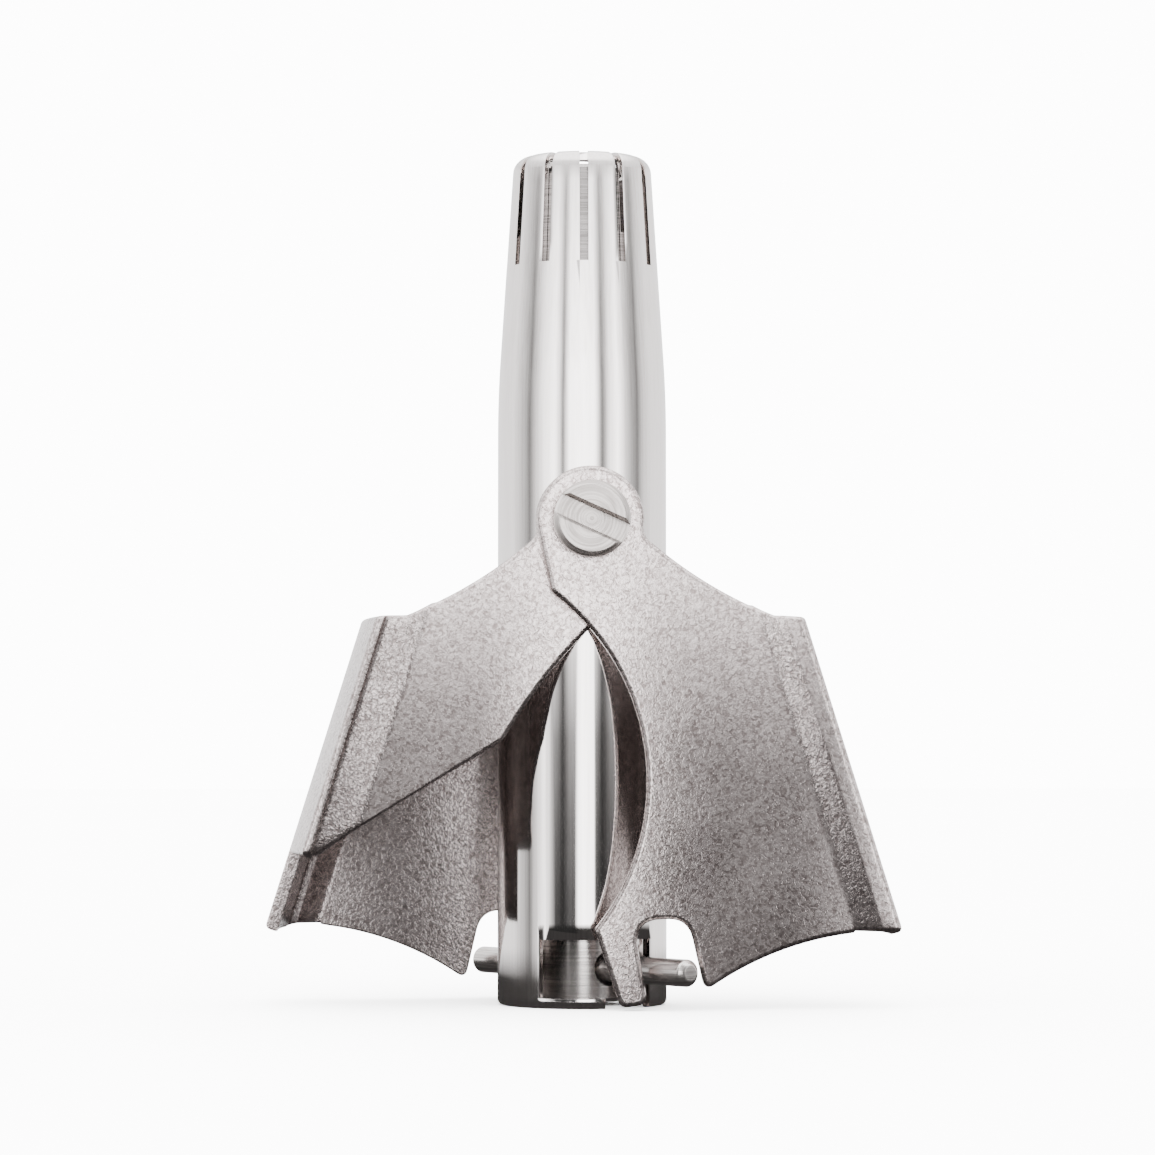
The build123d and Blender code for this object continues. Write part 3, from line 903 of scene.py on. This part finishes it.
        def add_face(*points: Vector) -> None:
            """Adds a face with points of its own."""
            faces.append(tuple(range(len(vertices), len(vertices) + len(points))))
            vertices.extend(points)

        rings = [ring(*layer) for layer in layers]
        for upper, lower in zip(rings, rings[1:]):
            for k, point in enumerate(upper):
                add_face(upper[k - 1], point, lower[k], lower[k - 1])
        for skin, (inset, depth) in ((0, layers[0]), (1, layers[-1])):
            long_ring = plate_ring(long_edge, columns[0], -inset, depth)
            short_ring = plate_ring(short_edge, columns[-1], -inset, depth)
            for edge_ring, k in ((long_ring, 0), (short_ring, last)):
                seam = [column_point(k, r / self.rows, inset, depth) for r in range(self.rows, -1, -1)]
                plate = edge_ring + seam
                add_face(*(reversed(plate) if skin else plate))
            for k in range(last):
                for r in range(self.rows):
                    add_face(
                        column_point(k, r / self.rows, inset, depth),
                        column_point(k + 1, r / self.rows, inset, depth),
                        column_point(k + 1, (r + 1) / self.rows, inset, depth),
                        column_point(k, (r + 1) / self.rows, inset, depth),
                    )
        name = f"{self.side.name.lower()}_folded_lever"
        lever = new_piece(name, vertices, faces, 60.0)
        weight = lever.modifiers.new("flats", "WEIGHTED_NORMAL")
        weight.keep_sharp = True
        bake(lever)
        return lever

    def fit(self) -> None:
        """Builds the lever and puts it in place of the model's own."""
        name = f"{self.side.name.lower()}_lever"
        dress(self.build(), self.steel, f"{name}_body", "lever_steel", name)


# ---------------------------------------------------------------- barrel


@dataclass
class Barrel:
    """The drawn tube, its tapered head cut into fingers, and its two windows for the cross pin."""

    steel: bpy.types.Material
    radius: float = 6.5
    bore: float = 5.7
    height: float = 65.3
    wall: float = 0.6
    head_radius: float = 5.28
    taper_z: float = 46.7
    taper_blend: float = 2.95
    base_round: float = 0.45
    top_round: float = 1.25
    inner_round: float = 0.6
    slots: int = 12
    slot_width: float = 0.66
    slot_bottom: float = 56.7
    slot_inner: float = 3.5
    first_finger: float = 12.2
    hole: float = 2.4
    join_z: float = 52.0
    window: Point = (-3.65, 4.79)
    gate: float = 1.28
    window_z: Point = (0.78, 5.2)
    edge: float = 0.07
    per_finger: int = 16
    line_step: float = 1.5
    window_pull: float = 10.0

    def skin_radius(self, z: float, straight: float, tip: Point) -> float:
        """Radius of a skin at a height, with a slow bend where the taper starts.

        Args:
            z: Height.
            straight: Radius below the taper.
            tip: Radius and height that the taper runs to.

        Returns:
            The radius.
        """
        slope = (straight - tip[0]) / (tip[1] - self.taper_z)
        start = self.taper_z - self.taper_blend
        if z <= start:
            return straight
        if z >= self.taper_z + self.taper_blend:
            return straight - slope * (z - self.taper_z)
        return straight - slope * (z - start) ** 2 / (4 * self.taper_blend)

    def outer(self, z: float) -> float:
        """Outer radius at a height."""
        return self.skin_radius(z, self.radius, (self.head_radius, self.height))

    def inner(self, z: float) -> float:
        """Inner radius at a height."""
        return self.skin_radius(z, self.bore, (self.head_radius - self.wall, self.height - self.wall))

    def column_angle(self, column: int, radius: float) -> float:
        """Angle of an upright line, two of each finger's being the edges of a flat slot."""
        finger, place = divmod(column, self.per_finger)
        middle = math.radians(self.first_finger + 360 / self.slots * finger)
        half = math.pi / self.slots
        reach = math.asin(self.slot_width / 2 / radius)
        between = self.per_finger - 3
        evenly = (math.radians(self.line_step * (n - between // 2)) for n in range(between))
        offsets = [-half, reach - half, *evenly, half - reach]
        return middle + offsets[place]

    def tube(self) -> bpy.types.Object:
        """The barrel below its head, with a window and a gate on each side."""
        columns = self.per_finger * self.slots
        regular = [self.column_angle(c, self.outer(self.join_z)) for c in range(columns)]
        edges = {}
        for side in (-math.pi / 2, math.pi / 2):
            for reach in (self.window[0], self.gate, self.window[1]):
                target = side + math.asin(reach / self.radius)
                off = [abs(math.remainder(a - target, math.tau)) for a in regular]
                edges[off.index(min(off))] = (side, reach)

        def angle_at(column: int, radius: float, z: float) -> float:
            """Angle of an upright line, drawn to a window's edge low down."""
            plain = self.column_angle(column, radius if z > 20 else self.radius)
            if column not in edges:
                return plain
            side, reach = edges[column]
            share = min(max((z - self.window_z[1]) / self.window_pull, 0.0), 1.0)
            hold = 1 - share * share * (3 - 2 * share)
            return plain + hold * math.remainder(side + math.asin(reach / radius) - plain, math.tau)

        starts = sorted(edges, key=lambda c: (edges[c][0], edges[c][1]))
        openings = [(starts[0], starts[1], starts[2]), (starts[3], starts[4], starts[5])]
        base = [math.pi / 2 * n / 5 for n in range(6)]
        outside = [
            (self.radius - self.base_round * (1 - math.sin(a)), self.base_round * (1 - math.cos(a)))
            for a in base
        ]
        heights = [self.window_z[0], 2.3, 3.8, self.window_z[1], 6.5, 8.5, 11.0, 15.2, 22.0, 30.0, 38.0]
        bend = [self.taper_z + self.taper_blend * n / 6 for n in range(-6, 7)]
        outside += [(self.outer(z), z) for z in heights + bend + [self.join_z]]
        inside = [(self.inner(z), z) for _, z in outside]
        low_row = len(base)
        high_row = low_row + 3

        def is_open(column: int, row: int) -> bool:
            """Whether a cell is in a window or its gate."""
            for left, gate, right in openings:
                across = (column - left) % columns
                if across < (right - left) % columns and low_row <= row < high_row:
                    return True
                if (column - gate) % columns < (right - gate) % columns and row < low_row:
                    return True
            return False

        shell = PiercedShell("tube", outside, inside, columns, angle_at, is_open, True, (True, False))
        return shell.build()

    def finger(self) -> bpy.types.Object:
        """One of the head's fingers with half a slot on each side, from the tube to the top hole."""
        sides = [self.join_z, 54.4, self.slot_bottom, 58.2, 59.8, 61.4, 63.0, self.height - self.top_round]
        outside = [(self.outer(z), z) for z in sides]
        shoulder = self.outer(self.height - self.top_round) - self.top_round
        for n in range(1, 8):
            a = math.pi / 2 * n / 7
            drop = self.top_round * (1 - math.sin(a))
            outside.append((shoulder + self.top_round * math.cos(a), self.height - drop))
        inside = [(self.inner(z), z) for z in sides]
        under = self.height - self.wall
        corner = self.inner(under - self.inner_round) - self.inner_round
        for n in range(1, 8):
            a = math.pi / 2 * n / 7
            drop = self.inner_round * (1 - math.sin(a))
            inside.append((corner + self.inner_round * math.cos(a), under - drop))
        outside += [(self.slot_inner, self.height), (self.hole, self.height)]
        inside += [(self.slot_inner, under), (self.hole, under)]
        slot_rows = range(sides.index(self.slot_bottom), len(outside) - 2)

        def angle_at(column: int, radius: float, z: float) -> float:
            """Angle of an upright line of a finger centred on the X axis."""
            turned = math.radians(self.first_finger)
            if column == self.per_finger:
                return math.pi / self.slots
            return self.column_angle(column, radius) - turned

        shell = PiercedShell(
            "finger",
            outside,
            inside,
            self.per_finger + 1,
            angle_at,
            lambda column, row: column in (0, self.per_finger - 1) and row in slot_rows,
            False,
            (False, True),
        )
        return shell.build()

    def build(self, repeat_round: bpy.types.NodeTree) -> bpy.types.Object:
        """Makes the barrel, its head repeated from one finger."""
        head = self.finger()
        values = {"Count": self.slots, "First Turn": math.radians(self.first_finger), "Material": self.steel}
        run_tree(head, repeat_round, values)
        barrel = weld("drawn_barrel", self.tube(), head)
        ease_edges(barrel, self.edge)
        return barrel

    def fit(self, repeat_round: bpy.types.NodeTree) -> None:
        """Builds the barrel and puts it in place of the model's own."""
        dress(self.build(repeat_round), self.steel, "barrel_body", "polished_steel", "barrel")


# ---------------------------------------------------------------- pivots


@dataclass
class PivotScrews:
    """The two slotted shoulder screws that the levers turn on, with the thin washers under their heads."""

    steel: bpy.types.Material
    head_radius: float = 2.88
    head_height: float = 1.55
    seat: float = 9.16
    chamfer: float = 0.36
    shoulder_radius: float = 2.0
    shoulder_end: float = 5.2
    thread_radius: float = 1.5
    thread_end: float = 3.75
    slot_width: float = 1.5
    slot_depth: float = 0.75
    slot_turn: float = -24.0
    slot_flare: float = 0.24
    washer_radius: float = 2.75
    washer_height: float = 0.2
    washer_seat: float = 8.93

    def place(self) -> Matrix:
        """Stands a piece drawn along Z out of the front pivot."""
        return Matrix.Translation((0, 0, PIVOT_Z)) @ Matrix.Rotation(math.pi / 2, 4, "X")

    def screw(self) -> bpy.types.Object:
        """The front screw, with its driver slot."""
        top = self.seat + self.head_height
        profile = rounded(
            [
                (0.0, top),
                (self.head_radius - self.chamfer, top),
                (self.head_radius, top - self.chamfer),
                (self.head_radius, self.seat),
                (self.shoulder_radius, self.seat),
                (self.shoulder_radius, self.shoulder_end),
                (self.thread_radius, self.shoulder_end),
                (self.thread_radius, self.thread_end),
                (0.0, self.thread_end),
            ],
            [0.16, 0.16, 0.1, 0.02, 0.02, 0.02, 0.05],
            4,
        )
        screw = lathe("slotted_pivot_screws", profile, 120, self.place())
        half_width, reach, flare = self.slot_width / 2, 2 * self.head_radius, self.slot_flare
        turn = self.place() @ Matrix.Rotation(math.radians(self.slot_turn), 4, "Z")
        # The slot's lips are worn to a slope of 45 degrees, carried on above the head
        half_slot = [
            (half_width, top - self.slot_depth),
            (half_width, top - flare),
            (half_width + 1, top - flare + 1),
        ]
        section = half_slot + [(-y, z) for y, z in reversed(half_slot)]
        corners = [turn @ Vector((x, y, z)) for x in (-reach, reach) for y, z in section]
        count = len(section)
        sides = [(k, (k + 1) % count, count + (k + 1) % count, count + k) for k in range(count)]
        sides += [tuple(range(count)), tuple(range(2 * count - 1, count - 1, -1))]
        cut(screw, new_piece("slot_cutter", corners, sides))
        ease_edges(screw, 0.06, 2, 50.0, 40.0)
        return screw

    def washer(self) -> bpy.types.Object:
        """The front washer."""
        inner, outer = self.shoulder_radius + 0.02, self.washer_radius
        low, high = self.washer_seat, self.washer_seat + self.washer_height
        ease = 0.06
        rim = [(outer - ease, low), (outer, low + ease), (outer, high - ease), (outer - ease, high)]
        profile = [(inner, low), *rim, (inner, high)]
        return lathe("pivot_washers", profile, 96, self.place())

    def fit(self, repeat_round: bpy.types.NodeTree) -> None:
        """Repeats each piece on both sides of the barrel in place of the model's own."""
        for piece, front, rear in (
            (self.screw(), "front_pivot_screw", "rear_pivot_screw"),
            (self.washer(), "front_washer", "rear_washer"),
        ):
            run_tree(piece, repeat_round, {"Count": 2, "Material": self.steel})
            dress(piece, self.steel, "barrel_body", "screw_steel", front, rear)


# ---------------------------------------------------------------- rotor


@dataclass
class Rotor:
    """The turning pieces: the cross pin in the lever hooks, the cutter and what joins them."""

    rod_steel: bpy.types.Material
    pin_steel: bpy.types.Material
    cutter_steel: bpy.types.Material
    pin_radius: float = 1.03
    pin_half: float = 12.75
    pin_z: float = 2.9
    pin_turn: float = 35.0
    pin_chamfer: float = 0.38
    blades: int = 8
    blade_gap: float = 1.2
    sleeve_z: tuple[float, float] = (51.3, 64.1)
    gap_bottom: float = 59.1
    tip_slant: float = 0.5
    bore: Point = (4.0, 3.7)
    clearance: float = 0.06

    def pin(self) -> bpy.types.Object:
        """The cross pin, a ground rod with softened ends."""
        r, end, c = self.pin_radius, self.pin_half, self.pin_chamfer
        corners = [(0.0, -end), (r - c, -end), (r, -end + c), (r, end - c), (r - c, end), (0.0, end)]
        profile = rounded(corners, [0.3, 0.3, 0.3, 0.3], 4)
        turn = Matrix.Rotation(math.radians(self.pin_turn), 4, "Z") @ Matrix.Rotation(math.pi / 2, 4, "X")
        return lathe("cross_pin_rod", profile, 64, Matrix.Translation((0, 0, self.pin_z)) @ turn)

    def blade(self, barrel: Barrel) -> bpy.types.Object:
        """One blade of the cutter with half a gap on each side.

        Args:
            barrel: The barrel whose head the cutter runs in.

        Returns:
            The blade.
        """
        low, high = self.sleeve_z
        heights = [low, 54.7, 55.0, self.gap_bottom, 60.5, 62.0, high - self.tip_slant]
        outside = [(barrel.inner(z) - self.clearance, z) for z in heights]
        outside.append((barrel.inner(high) - self.tip_slant, high))
        inside = [(self.bore[0] if z < 54.9 else self.bore[1], z) for z in heights + [high]]
        half = math.pi / self.blades
        gap_rows = range(heights.index(self.gap_bottom), len(outside) - 1)

        def angle_at(column: int, radius: float, z: float) -> float:
            """Angle of an upright line of a blade centred on the X axis."""
            reach = math.asin(self.blade_gap / 2 / radius)
            stops = [-half, reach - half, -half / 3, 0.0, half / 3, half - reach, half]
            return stops[column]

        shell = PiercedShell(
            "cutter_blades",
            outside,
            inside,
            7,
            angle_at,
            lambda column, row: column in (0, 5) and row in gap_rows,
        )
        return shell.build()

    def fit(self, repeat_round: bpy.types.NodeTree, barrel: Barrel) -> None:
        """Builds the pieces that show and gives the rest their metal.

        Args:
            repeat_round: Tree that repeats one blade.
            barrel: The barrel whose head the cutter runs in.
        """
        dress(self.pin(), self.pin_steel, "rotor_body", "rotor_steel", "cross_pin")
        cutter = self.blade(barrel)
        run_tree(cutter, repeat_round, {"Count": self.blades, "Material": self.cutter_steel})
        ease_edges(cutter, 0.03, 1)
        dress(cutter, self.cutter_steel, "rotor_body", "cutter_steel", "cutter")
        for node in ("rotor_shaft", "cutter_hub", "hub_dowel"):
            redress(node, self.rod_steel)


# ---------------------------------------------------------------- studio


@dataclass
class Studio:
    """A pale floor, a white surround with a few dark uprights for the metal to mirror, and a camera."""

    camera_at: tuple[float, float, float] = (-23.0, -299.1, 19.8)
    camera_aim: tuple[float, float, float] = (-0.35, 0.0, 32.8)
    frame_width: float = 89.1
    frame_distance: float = 300.0
    floor_size: float = 3000.0
    white_strength: float = 13.0
    mirror_strength: float = 7.5
    floor_mirrored: float = 0.06
    # How far round the trimmer polished metal sees the board in painted shade, in millimetres
    painted_shade_reach: tuple[float, float] = (40.0, 90.0)
    scrim_y: float = -24.0
    scrim_half: float = 30.0
    scrim_foot: float = 0.5
    scrim_height: float = 38.0
    scrim_level: float = 0.03
    # Share of the way up the scrim, and how much of what is behind it shows through
    scrim_clear_up: list[tuple[float, float]] = field(
        default_factory=lambda: [
            (0.0, 0.01),
            (0.2, 0.02),
            (0.36, 0.04),
            (0.54, 0.09),
            (0.7, 0.26),
            (0.85, 0.6),
            (1.0, 0.9),
        ]
    )
    # Share of the way out from the scrim's middle, and the same
    scrim_clear_out: list[tuple[float, float]] = field(
        default_factory=lambda: [(0.0, 1.0), (0.11, 0.9), (0.16, 0.0), (0.6, 0.0), (0.75, 0.25), (1.0, 0.8)]
    )
    # Degrees round from the camera, and brightness of the surround near the horizon
    uprights: list[tuple[float, float]] = field(
        default_factory=lambda: [
            (-180, 0.3),
            (-110, 0.3),
            (-92, 0.2),
            (-82, 0.045),
            (-72, 0.1),
            (-62, 0.25),
            (-50, 0.8),
            (-38, 0.45),
            (-32, 0.14),
            (-27, 0.03),
            (-22, 0.35),
            (-17, 0.85),
            (0, 1.0),
            (17, 0.85),
            (22, 0.3),
            (26, 0.035),
            (30, 0.3),
            (38, 0.8),
            (54, 0.5),
            (68, 0.16),
            (76, 0.045),
            (84, 0.12),
            (108, 0.3),
            (180, 0.3),
        ]
    )
    # Upward part of the direction, and brightness of the surround above the horizon
    dome: list[tuple[float, float]] = field(
        default_factory=lambda: [(0.0, 0.08), (0.2, 0.2), (0.4, 0.26), (0.6, 0.3), (0.85, 0.6), (1.0, 0.6)]
    )
    band: tuple[float, float] = (0.2, 0.34)

    def camera(self) -> None:
        """Adds the camera."""
        data = bpy.data.cameras.new("camera")
        data.sensor_width = 36.0
        data.lens = data.sensor_width * self.frame_distance / self.frame_width
        data.clip_start = 0.01
        camera = bpy.data.objects.new("camera", data)
        bpy.context.scene.collection.objects.link(camera)
        at = Vector(self.camera_at) * MM
        aim = Vector(self.camera_aim) * MM - at
        camera.location = at
        camera.rotation_euler = aim.to_track_quat("-Z", "Y").to_euler()
        bpy.context.scene.camera = camera

    def surround(self) -> None:
        """Lights the floor evenly, and gives polished metal bright and dark uprights to mirror."""
        world = bpy.data.worlds.new("white_studio")
        world.use_nodes = True
        bpy.context.scene.world = world
        tree = world.node_tree
        tree.nodes.clear()
        direction = add_node(tree, "ShaderNodeTexCoord").outputs["Generated"]
        parts = add_node(tree, "ShaderNodeSeparateXYZ", {"Vector": direction})
        inputs = {0: parts.outputs["X"], 1: parts.outputs["Y"]}
        azimuth = add_node(tree, "ShaderNodeMath", inputs, operation="ARCTAN2")
        facing = math.atan2(self.camera_at[0], self.camera_at[1])
        off = add_node(tree, "ShaderNodeMath", {0: azimuth.outputs[0], 1: facing}, operation="SUBTRACT")
        inputs = {0: off.outputs[0], 1: math.pi, 2: -math.pi}
        wrapped = add_node(tree, "ShaderNodeMath", inputs, operation="WRAP")
        inputs = {"Value": wrapped.outputs[0], "From Min": -math.pi, "From Max": math.pi}
        share = add_node(tree, "ShaderNodeMapRange", inputs)
        round_ramp = add_node(tree, "ShaderNodeValToRGB", {"Fac": share.outputs["Result"]})
        set_ramp(round_ramp.color_ramp, [((a + 180) / 360, level) for a, level in self.uprights])
        up_ramp = add_node(tree, "ShaderNodeValToRGB", {"Fac": parts.outputs["Z"]})
        set_ramp(up_ramp.color_ramp, self.dome)
        band = add_node(tree, "ShaderNodeMath", {0: parts.outputs["Z"]}, operation="ABSOLUTE")
        inputs = {"Value": band.outputs[0], "From Min": self.band[0], "From Max": self.band[1]}
        above = add_node(tree, "ShaderNodeMapRange", inputs, interpolation_type="SMOOTHSTEP")
        sky = add_node(tree, "ShaderNodeMix", {"Factor": above.outputs["Result"]}, data_type="RGBA")
        tree.links.new(round_ramp.outputs["Color"], sky.inputs[6])
        tree.links.new(up_ramp.outputs["Color"], sky.inputs[7])
        inputs = {"Color": sky.outputs[2], "Strength": self.mirror_strength}
        mirrored = add_node(tree, "ShaderNodeBackground", inputs)
        inputs = {"Color": (1.0, 1.0, 1.0, 1.0), "Strength": self.white_strength}
        plain = add_node(tree, "ShaderNodeBackground", inputs)
        ray = add_node(tree, "ShaderNodeLightPath")
        inputs = {0: ray.outputs["Is Glossy Ray"], 1: plain.outputs[0], 2: mirrored.outputs[0]}
        either = add_node(tree, "ShaderNodeMixShader", inputs)
        add_node(tree, "ShaderNodeOutputWorld", {"Surface": either.outputs[0]})

    def floor(self) -> None:
        """Adds the pale floor."""
        half = self.floor_size / 2
        corners = [(-half, -half, 0), (half, -half, 0), (half, half, 0), (-half, half, 0)]
        floor = new_piece("floor", corners, [(0, 1, 2, 3)])
        paint = bpy.data.materials.new("white_studio_board")
        paint.use_nodes = True
        tree = paint.node_tree
        surface = tree.nodes["Principled BSDF"]
        surface.inputs["Roughness"].default_value = 0.9
        surface.inputs["Specular IOR Level"].default_value = 0.1
        place = add_node(tree, "ShaderNodeTexCoord").outputs["Object"]
        mottle = add_node(tree, "ShaderNodeTexNoise", {"Vector": place, "Scale": 6.0, "Detail": 3.0})
        tone = add_node(tree, "ShaderNodeMix", {"Factor": mottle.outputs["Fac"]}, data_type="RGBA")
        tone.inputs[6].default_value = linear("f8f8f8")
        tone.inputs[7].default_value = linear("fcfcfc")
        tree.links.new(tone.outputs[2], surface.inputs["Base Color"])
        # Polished metal sees the board near the trimmer in painted shade, a dim glow in place of the lit
        # board, as it would with black felt laid round it
        ray = add_node(tree, "ShaderNodeLightPath")
        shade_colour = (self.floor_mirrored, self.floor_mirrored * 0.95, self.floor_mirrored * 0.94, 1.0)
        shaded = add_node(tree, "ShaderNodeEmission", {"Color": shade_colour})
        reach = add_node(tree, "ShaderNodeVectorMath", {0: place}, operation="LENGTH")
        near, far = (r * MM for r in self.painted_shade_reach)
        inputs = {"Value": reach.outputs["Value"], "From Min": near, "From Max": far}
        past = add_node(tree, "ShaderNodeMapRange", inputs)
        open_board = add_node(tree, "ShaderNodeBsdfTransparent")
        inputs = {0: past.outputs["Result"], 1: shaded.outputs[0], 2: open_board.outputs[0]}
        painted_board_shade = add_node(tree, "ShaderNodeMixShader", inputs)
        inputs = {0: ray.outputs["Is Glossy Ray"], 1: surface.outputs[0], 2: painted_board_shade.outputs[0]}
        either = add_node(tree, "ShaderNodeMixShader", inputs)
        tree.links.new(either.outputs[0], tree.nodes["Material Output"].inputs["Surface"])
        floor.data.materials.append(paint)

    def scrim(self) -> None:
        """Hangs a dark scrim in front, thinning out upwards and sideways, that only polished metal sees."""
        half, y, low, high = self.scrim_half, self.scrim_y, self.scrim_foot, self.scrim_height
        corners = [(-half, y, low), (half, y, low), (half, y, high), (-half, y, high)]
        scrim = new_piece("dark_scrim", corners, [(0, 1, 2, 3)])
        cloth = bpy.data.materials.new("graded_dark_scrim")
        cloth.use_nodes = True
        tree = cloth.node_tree
        tree.nodes.clear()
        whole = add_node(tree, "ShaderNodeTexCoord").outputs["Object"]
        place = add_node(tree, "ShaderNodeSeparateXYZ", {"Vector": whole})
        out = add_node(tree, "ShaderNodeMath", {0: place.outputs["X"]}, operation="ABSOLUTE")
        clears = []
        for distance, reach, stops in (
            (place.outputs["Z"], self.scrim_height, self.scrim_clear_up),
            (out.outputs[0], half, self.scrim_clear_out),
        ):
            share = add_node(tree, "ShaderNodeMapRange", {"Value": distance, "From Max": reach * MM})
            clear = add_node(tree, "ShaderNodeValToRGB", {"Fac": share.outputs["Result"]})
            set_ramp(clear.color_ramp, stops)
            clears.append(clear.outputs["Color"])
        either = add_node(tree, "ShaderNodeMath", {0: clears[0], 1: clears[1]}, operation="MAXIMUM")
        level = self.scrim_level
        dark = add_node(tree, "ShaderNodeEmission", {"Color": (level, level, level, 1.0)})
        through = add_node(tree, "ShaderNodeBsdfTransparent")
        inputs = {0: either.outputs[0], 1: dark.outputs[0], 2: through.outputs[0]}
        graded = add_node(tree, "ShaderNodeMixShader", inputs)
        add_node(tree, "ShaderNodeOutputMaterial", {"Surface": graded.outputs[0]})
        scrim.data.materials.append(cloth)
        scrim.visible_camera = False
        scrim.visible_diffuse = False
        scrim.visible_shadow = False

    def build(self) -> None:
        """Sets up the studio."""
        self.camera()
        self.surround()
        self.floor()
        self.scrim()


# ---------------------------------------------------------------- the whole scene


def main() -> None:
    """Builds the studio and the trimmer, and reports each piece."""
    logging.basicConfig(level=logging.INFO, format="%(name)s: %(message)s")
    Studio().build()
    repeat_round = repeat_round_tree()
    barrel = Barrel(BUFFED_TUBE.material())
    barrel.fit(repeat_round)
    sheet = TUMBLED_SHEET.material()
    for side in Side:
        FoldedLever(side, sheet).fit()
    PivotScrews(TURNED_SCREW.material()).fit(repeat_round)
    rod = GROUND_ROD.material()
    Rotor(rod, rod, GROUND_CUTTER.material()).fit(repeat_round, barrel)
    redress("pivot_bush", rod)
    redress("return_spring", SPRING_WIRE.material())


if __name__ == "__main__":
    main()
